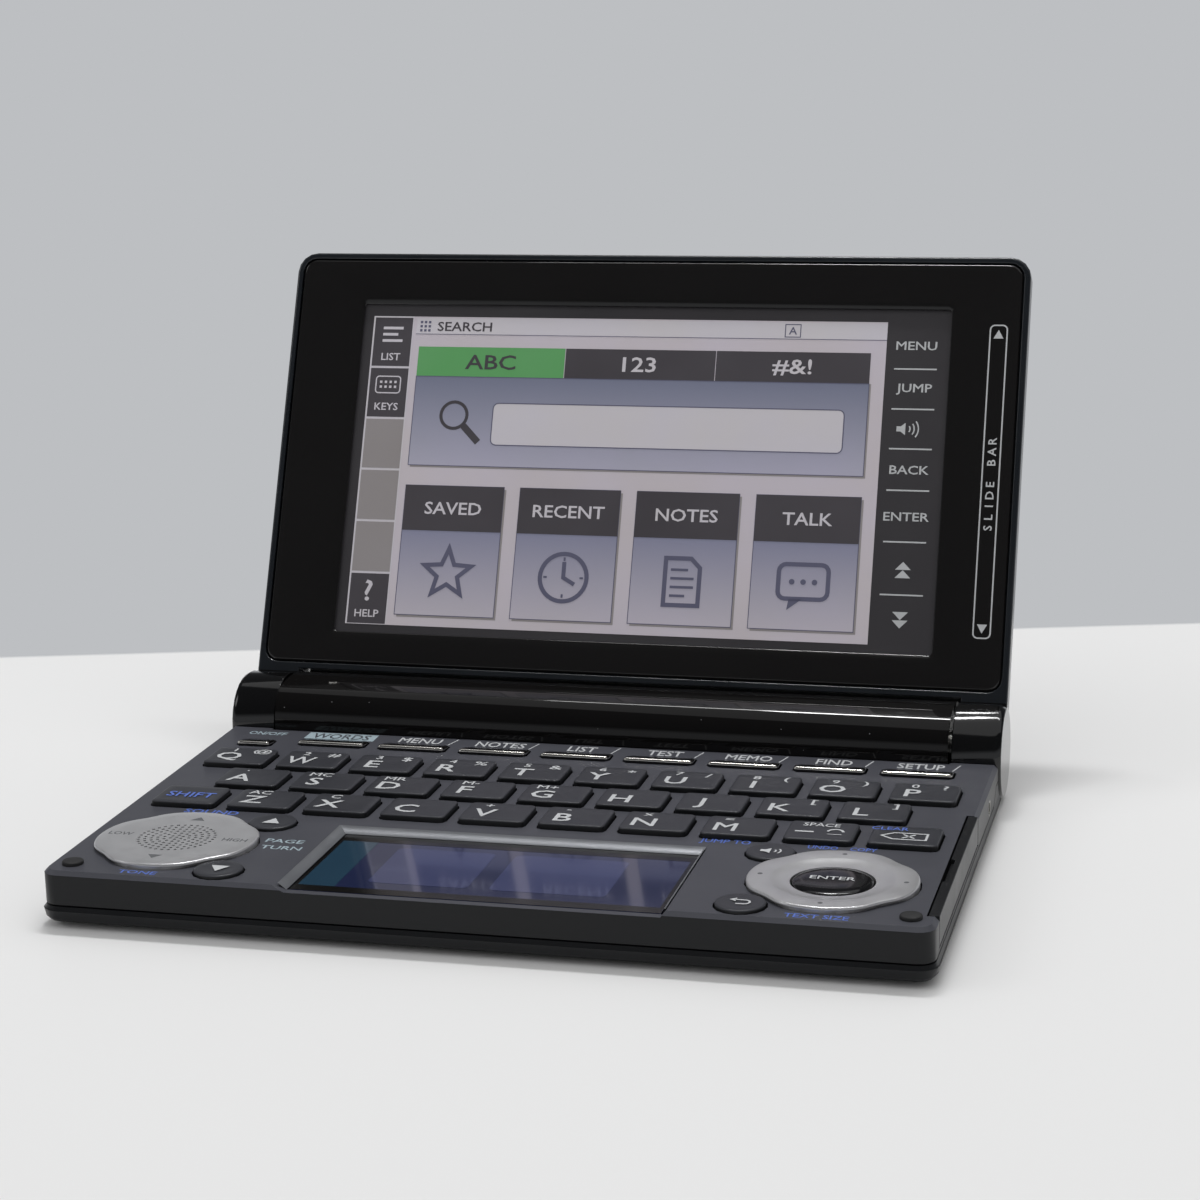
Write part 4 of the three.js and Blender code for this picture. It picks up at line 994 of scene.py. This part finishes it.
def drawPage(shape):
    width, column, header = page["right"] - page["left"], page["column"], page["header"]
    height = page["high"] - page["low"]
    cell = height / page["cells"]
    pageBar(shape, 0, width, 0, height, 1, paper)
    # header bar with a grid mark and a boxed mode letter
    pageBar(shape, column + 0.6, width, 0.3, header, 2, white)
    pageLine(shape, [(column + 0.6, header), (width, header)], 0.12, 3, line)
    for i in range(3):
        pageRules(shape, 9.9 + i * 0.85, 0.9, (0.5, 0.5, 0.5), 0.85, 0.5, 3, line)
    pageLine(shape, boxPath(84.2, 87.2, 0.7, 3.2), 0.18, 3, line, True)
    # left column: two icon cells, three blank ones and the help cell
    for i, kind in enumerate((dark, dark, blank, blank, blank, dark)):
        pageBar(shape, 0, column, i * cell, (i + 1) * cell, 2, white)
        pageBar(shape, 0.35, column - 0.25, i * cell + 0.3, (i + 1) * cell - 0.15, 3, kind)
    pageRules(shape, 2.2, 2.2, (4.2, 3.2, 4.2), 1.3, 0.55, 4, white)
    pageLine(shape, boxPath(1.7, 6.8, cell + 2, cell + 5.4, 0.6), 0.25, 4, white, True)
    for i in range(4):
        pageRules(shape, 2.5 + i, cell + 2.9, (0.5, 0.5), 1, 0.5, 4, white)
    # words: text, place, height, layer, finish and width
    for word in (("SEARCH", 19.2, 2.0, 1.9, 3, dark, 1.2), ("A", 85.7, 1.95, 1.5, 3, line),
                 ("LIST", 4.25, 8.4, 1.5, 4, white), ("KEYS", 4.25, cell + 8.2, 1.5, 4, white),
                 ("?", 4.25, 5 * cell + 3.7, 4.2, 4, white), ("HELP", 4.25, 5 * cell + 8.3, 1.5, 4, white)):
        pageText(shape, *word)


def drawSearch(shape):
    u0, u1, w0, w1 = page["tabs"]
    end, third = page["panelEnd"], (u1 - u0) / 3
    # three tabs, the first one chosen
    tabs = (("ABC", green, dark), ("123", dark, white), ("#&!", dark, white))
    for i, (text, kind, tone) in enumerate(tabs):
        pageBar(shape, u0 + i * third + (0.15 if i else 0), u0 + (i + 1) * third, w0, w1, 3, kind)
        pageText(shape, text, u0 + (i + 0.5) * third, (w0 + w1) / 2, 3.0, 4, tone, 1.3)
    pageBar(shape, u0 + 0.4, u1 + 0.4, w1, end + 0.4, 2, blank)
    pageBar(shape, u0, u1, w1, end, 3, blue)
    pageLine(shape, boxPath(u0, u1, w1, end), page["thin"], 4, line, True)
    # the field, and a magnifying glass in front of it
    outline = boxPath(*page["field"], 1.1)
    pagePlate(shape, outline, 4, white)
    pageLine(shape, outline, 0.2, 5, line, True)
    pageLine(shape, roundRing((18.6, 20.2), 2.7, 0, 28), 0.65, 4, dark, True)
    pageLine(shape, [(20.7, 22.3), (24.0, 25.6)], 1.4, 4, dark)


def starIcon(shape, u, w):
    path = []
    for i in range(10):
        a, r = math.radians(-90 + 36 * i), 2.2 if i % 2 else 5.0
        path.append((u + r * math.cos(a), w + r * math.sin(a)))
    pageLine(shape, path, page["bold"], 5, line, True)


def clockIcon(shape, u, w):
    pageLine(shape, roundRing((u, w), 4.7, 0, 40), page["bold"], 5, line, True)
    pageLine(shape, [(u, w - 3.1), (u, w), (u + 2.3, w + 1.3)], 0.8, 5, line)
    for path in zip(roundRing((u, w), 3.3, 0, 4), roundRing((u, w), 4.0, 0, 4)):
        pageLine(shape, path, 0.4, 6, line)


def sheetIcon(shape, u, w):
    pageLine(shape, [(u - 3.4, w - 4.6), (u + 1.6, w - 4.6), (u + 3.4, w - 2.8), (u + 3.4, w + 4.6),
                     (u - 3.4, w + 4.6)], page["bold"], 5, line, True)
    pageRules(shape, u - 2.3, w - 2.6, (3.4, 4.6, 4.6, 3.0), 1.7, 0.5, 5, line)


def bubbleIcon(shape, u, w):
    pageLine(shape, boxPath(u - 4.8, u + 4.8, w - 4.2, w + 2.5, 1.4), page["bold"], 5, line, True)
    pagePlate(shape, [(u, w + 2.5), (u - 2.9, w + 4.7), (u - 2.6, w + 2.5)], 5, line)
    for i in (-1, 0, 1):
        pagePlate(shape, roundRing((u + i * 2.2, w - 0.8), 0.55, 0, 12), 5, line)


def drawCards(shape):
    u0, u1 = page["tabs"][:2]
    w0, w1 = page["cards"]
    head, count, gap = w0 + page["cardHead"], page["cardCount"], page["cardGap"]
    wide = (u1 - u0 - gap * (count - 1)) / count
    looks = (("SAVED", starIcon), ("RECENT", clockIcon), ("NOTES", sheetIcon), ("TALK", bubbleIcon))
    for i, (text, icon) in enumerate(looks):
        a = u0 + i * (wide + gap)
        b = a + wide
        pageBar(shape, a + 0.45, b + 0.45, w0 + 0.5, w1 + 0.45, 2, blank)
        pageBar(shape, a, b, w0, w1, 3, card)
        pageLine(shape, boxPath(a, b, w0, w1), page["thin"], 4, line, True)
        pageBar(shape, a, b, w0, head, 5, dark)
        pageText(shape, text, (a + b) / 2, (w0 + head) / 2, 2.5, 6, white, 1.15)
        icon(shape, (a + b) / 2, (head + w1) / 2)


# Touch keys printed beside the panel on the same film
softKeys = {"middle": 109.9, "half": 4.1, "lines": (9.2, 17.1, 24.9, 33.0, 43.0, 53.2), "line": 0.3,
            "labels": (("MENU", 4.6), ("JUMP", 13.2), ("BACK", 29.0), ("ENTER", 38.1)), "label": 1.7,
            "voice": (108.7, 21.0), "up": 48.2, "down": 58.2, "arrow": (1.5, -0.8, 0.75)}


def drawSoftKeys(shape):
    middle, half = softKeys["middle"], softKeys["half"]
    for w in softKeys["lines"]:
        pageLine(shape, [(middle - half, w), (middle + half, w)], softKeys["line"], 1, ink)
    for text, w in softKeys["labels"]:
        pageText(shape, text, middle, w, softKeys["label"], 1, ink, 1.25)
    addSpeaker(shape, *pagePoint(*softKeys["voice"]), (0.9, 1.7, 2.5), 38, 0.26, layerHeight(1), ink)
    # a double arrowhead each way
    for w, way in ((softKeys["up"], 1), (softKeys["down"], -1)):
        for step in (-0.95, 0.65):
            addArrow(shape, *pagePoint(middle, w - way * step), softKeys["arrow"], way, layerHeight(1), ink)


def makeScreenPage():
    shape = newShape()
    drawPage(shape)
    drawSearch(shape)
    drawCards(shape)
    drawSoftKeys(shape)
    makePiece("screen_page", shape, pageFinishes, "lid")


makeScreenPage()


# The lid's back reaches down a little behind the barrel and closes the gap over it
skirt = {"half": 65.0, "low": 7.6, "high": 10.3, "back": -7.7, "front": -6.9, "corner": 0.3, "edge": 0.2}


def makeSkirt():
    box = (-skirt["half"], skirt["low"], skirt["half"], skirt["high"])
    back, front, edge = skirt["back"], skirt["front"], skirt["edge"]
    places = ((edge, back), (0, back + edge), (0, (back + front) / 2), (0, front - edge), (edge, front))
    shape = newShape()
    addLoft(shape, [boxRing(box, skirt["corner"], inset, d, 3) for inset, d in places])
    makePiece("lid_skirt", shape, [lidLacquer], "lid")


makeSkirt()


# Rubber stops for the closed lid at the front corners of the deck
stop = {"places": [(-69.8, -65.6), (69.8, -65.6)], "radius": 1.8, "skirt": 0.9, "top": 10.5, "edge": 0.3}


def makeStops():
    shape = newShape()
    for spot in stop["places"]:
        section = lambda inset, z: roundRing(spot, stop["radius"] - inset, z, 32)
        addLoft(shape, capRings(section, stop["top"], stop, (28.65, 57.3, 89.95)))
    makePiece("deck_stops", shape, [blackRubberAndShade], "base")


# The sockets' metal, just inside the case's sides. Places are in y from the front edge of a key near
# them and in z from the board's underside
sockets = {"inner": 73.0, "outer": 74.03, "jack": (-2.8, 2.6), "jackRadius": 1.48, "jackWall": 0.4,
           "data": (13.9, 1.5), "dataSize": (7, 2.6), "dataCorner": 0.6, "dataInsets": (0.35, 0.03)}


def addShell(shape, side, bore, outside):
    # a short tube along X; its sections are rings of (y, z)
    inner, outer = side * sockets["inner"], side * sockets["outer"]
    sections = ((inner, bore), (outer, bore), (outer, outside), (inner, outside))
    addLoft(shape, [[(x, p[0], p[1]) for p in section] for x, section in sections], capped=False)


def makeSockets():
    floor = boxOf("main_board")[0][2]
    shape = newShape()
    y = boxOf("key_function_1")[0][1] + sockets["jack"][0]
    z = floor + sockets["jack"][1]
    radii = (sockets["jackRadius"] - sockets["jackWall"], sockets["jackRadius"])
    addShell(shape, 1, *(roundRing((y, z), radius, 0, 32) for radius in radii))
    y = boxOf("key_z")[0][1] + sockets["data"][0]
    z = floor + sockets["data"][1]
    box = (y, z, y + sockets["dataSize"][0], z + sockets["dataSize"][1])
    corner, insets = sockets["dataCorner"], sockets["dataInsets"]
    addShell(shape, -1, *(boxRing(box, corner, inset, 0, 4) for inset in insets))
    makePiece("socket_shells", shape, [nickelSteel], "base")


# A plated dash on the barrel, at its left end
dash = {"box": (-55.9, 21.8, -54.2, 22.5), "corner": 0.2, "foot": 17.6, "top": 18.07, "edge": 0.08}


def makeDash():
    places = ((0, dash["foot"]), (0, dash["top"] - dash["edge"]), (dash["edge"], dash["top"]))
    shape = newShape()
    addLoft(shape, [boxRing(dash["box"], dash["corner"], inset, z, 3) for inset, z in places])
    makePiece("barrel_dash", shape, [chromePlate], "base")


# Screws under the case: heads that look down, each with a flat cross painted black as the shade in its recess
screw = {"places": [(-68, -64.9), (68, -64.9), (-69.6, 12.1), (69.6, 12.1)], "radius": 1.9,
         "chamfer": 0.1, "heights": (0.9, 0.62, 0.55), "cross": 1.1, "crossWidth": 0.4,
         "crossHeight": 0.54, "crossTurn": 0.4}


def makeScrews():
    radius, reach = screw["radius"], screw["cross"]
    shape = newShape()
    for x, y in screw["places"]:
        radii = (radius, radius, radius - screw["chamfer"])
        addLoft(shape, [roundRing((x, y), r, z, 32) for r, z in zip(radii, screw["heights"])])
        for turn in (screw["crossTurn"], screw["crossTurn"] + math.pi / 2):
            u, v = reach * math.cos(turn), reach * math.sin(turn)
            addStroke(shape, [(x + u, y + v), (x - u, y - v)], screw["crossWidth"], screw["crossHeight"], 1)
    makePiece("case_screws", shape, [blackSteel, blackRubberAndShade], "base")


makeStops()
makeSockets()
makeDash()
makeScrews()


# Scroll strip printed on the lid's face: an outline with an arrow at each end and a word up its middle
strip = {"left": 66.9, "right": 70.1, "low": 21.5, "high": 81.9, "corner": 0.9, "stroke": 0.27,
         "face": -1.75, "arrowPlace": 0.9, "arrow": (0.95, -1.7, 0), "word": "SLIDE BAR", "start": 42.5,
         "pitch": 2.1, "letter": 1.6, "letterWide": 1.05}


def makeScrollStrip():
    z = strip["face"] + lift["plate"]
    left, low, right, high = (strip[k] for k in ("left", "low", "right", "high"))
    shape = newShape()
    addStroke(shape, boxRing((left, low, right, high), strip["corner"], 0, 0), strip["stroke"], z, 0, True)
    x = (left + right) / 2
    for tip, way in ((high - strip["arrowPlace"], 1), (low + strip["arrowPlace"], -1)):
        addArrow(shape, x, tip, strip["arrow"], way, z, 0)
    for i, letter in enumerate(strip["word"]):
        if letter != " ":
            place = (x, strip["start"] + i * strip["pitch"])
            addText(shape, letter, place, strip["letter"], z, 0, strip["letterWide"], turn=90)
    makePiece("scroll_strip", shape, [whiteInk], "lid")


makeScrollStrip()
print("screen and marks made")

# Floor and backdrop: one pale table, and a plain wall colour beyond a line behind the object, which
# has a place in metres and a turn in degrees
stage = {"table": "#e2e2e2", "wall": "#bdbfc2", "strength": 1.0, "line": (-0.0288, 0.1291),
         "turn": 15.77, "radius": 8}


def seenByEye(tree):
    # 1 for rays from the camera and from shiny or clear faces
    rays = addNode(tree, "ShaderNodeLightPath")
    both = addNode(tree, "ShaderNodeMath", {
        0: rays.outputs["Is Camera Ray"], 1: rays.outputs["Is Glossy Ray"]}, operation="ADD")
    return addNode(tree, "ShaderNodeMath", {
        0: both, 1: rays.outputs["Is Transmission Ray"]}, operation="ADD", use_clamp=True)


def makeStage():
    mesh = bpy.data.meshes.new("table")
    ring = roundRing((0, 0), stage["radius"], 0)
    mesh.from_pydata(ring, [], [tuple(range(len(ring)))])
    table = addObject("table", mesh)
    material = bpy.data.materials.new("paintedTable")
    tree = emptyTree(material)
    turn = math.radians(-stage["turn"])
    turned = addNode(tree, "ShaderNodeMapping", {"Vector": objectSpot(tree), "Rotation": (0, 0, turn)})
    axes = addNode(tree, "ShaderNodeSeparateXYZ", {0: turned})
    seam = stage["line"][0] * math.sin(turn) + stage["line"][1] * math.cos(turn)
    behind = addNode(tree, "ShaderNodeMapRange", {
        "Value": axes.outputs["Y"], "From Min": seam - mm, "From Max": seam + mm})
    painted = addNode(tree, "ShaderNodeBsdfPrincipled", {
        "Base Color": linearColour(stage["table"]), "Roughness": 0.5, "Specular IOR Level": 0.2})
    wall = addNode(tree, "ShaderNodeEmission", {
        "Color": linearColour(stage["wall"]), "Strength": stage["strength"]})
    shown = addNode(tree, "ShaderNodeMath", {0: behind, 1: seenByEye(tree)}, operation="MULTIPLY")
    both = addNode(tree, "ShaderNodeMixShader", {0: shown, 1: painted, 2: wall})
    # from below the table is clear, so that the underside can be looked at
    under = addNode(tree, "ShaderNodeMixShader", {
        0: addNode(tree, "ShaderNodeNewGeometry").outputs["Backfacing"], 1: both,
        2: addNode(tree, "ShaderNodeBsdfTransparent")})
    addNode(tree, "ShaderNodeOutputMaterial", {"Surface": under})
    mesh.materials.append(material)


makeStage()

# World: plain even light. Camera and shiny faces see the wall's colour all round up to a fair height,
# and above it a darker room
sky = {"light": "#d4d4d4", "strength": 0.78, "room": "#454648", "low": 0.18, "high": 0.33}
world = bpy.data.worlds.new("studio")
bpy.context.scene.world = world
tree = emptyTree(world)
way = addNode(tree, "ShaderNodeSeparateXYZ", {0: addNode(tree, "ShaderNodeTexCoord").outputs["Generated"]})
above = addNode(tree, "ShaderNodeMapRange", {
    "Value": way.outputs["Z"], "From Min": sky["low"], "From Max": sky["high"]})
room = addNode(tree, "ShaderNodeMix", {
    0: above, 6: linearColour(stage["wall"]), 7: linearColour(sky["room"])}, data_type="RGBA")
even = addNode(tree, "ShaderNodeBackground", {
    "Color": linearColour(sky["light"]), "Strength": sky["strength"]})
shown = addNode(tree, "ShaderNodeBackground", {"Color": room, "Strength": stage["strength"]})
both = addNode(tree, "ShaderNodeMixShader", {0: seenByEye(tree), 1: even, 2: shown})
addNode(tree, "ShaderNodeOutputWorld", {"Surface": both})

# Lamps: a large soft box overhead, a tube behind it whose middle is brighter, for the line along the
# barrel, and a weak one at the left. All of them look at the object; metres and watts
lamps = {
    "overhead": {"place": (0.15, 0.1, 1.2), "size": (1.7, 1.3), "power": 4.0},
    "tube": {"place": (0.02, 0.28, 1.0), "size": (0.62, 0.06), "power": 2.2},
    "tubeEnd": {"place": (-0.06, 0.28, 1.0), "size": (0.2, 0.06), "power": 2.5},
    "left": {"place": (-0.9, -0.3, 0.7), "size": (0.4, 0.4), "power": 1.0}}
aim = Vector((0, 0, 0.03))
for name, lamp in lamps.items():
    data = bpy.data.lights.new(name, "AREA")
    data.shape, data.size, data.size_y, data.energy = "RECTANGLE", *lamp["size"], lamp["power"]
    light = addObject(name, data)
    light.location = lamp["place"]
    light.rotation_mode = "QUATERNION"
    light.rotation_quaternion = (aim - light.location).to_track_quat("-Z", "Y")

# Camera at the photograph's place: azimuth and elevation round the object, with its small roll
view = {"azimuth": 14.604, "elevation": 13.634, "roll": -1.339, "lens": 83.19, "sensor": 36,
        "place": (0.126073, -0.466527, 0.158823), "clip": (0.01, 20)}
az, el, roll = (math.radians(view[k]) for k in ("azimuth", "elevation", "roll"))
back = Vector((math.sin(az) * math.cos(el), -math.cos(az) * math.cos(el), math.sin(el)))
right = Vector((math.cos(az), math.sin(az), 0))
up = back.cross(right)
side, top = right * math.cos(roll) + up * math.sin(roll), up * math.cos(roll) - right * math.sin(roll)
camera = addObject("camera", bpy.data.cameras.new("camera"))
camera.data.lens, camera.data.sensor_width = view["lens"], view["sensor"]
camera.data.clip_start, camera.data.clip_end = view["clip"]
camera.matrix_world = Matrix.Translation(view["place"]) @ Matrix((side, top, back)).transposed().to_4x4()
bpy.context.scene.camera = camera
bpy.context.scene.view_settings.view_transform = "Standard"
print("stage, lights and camera set")
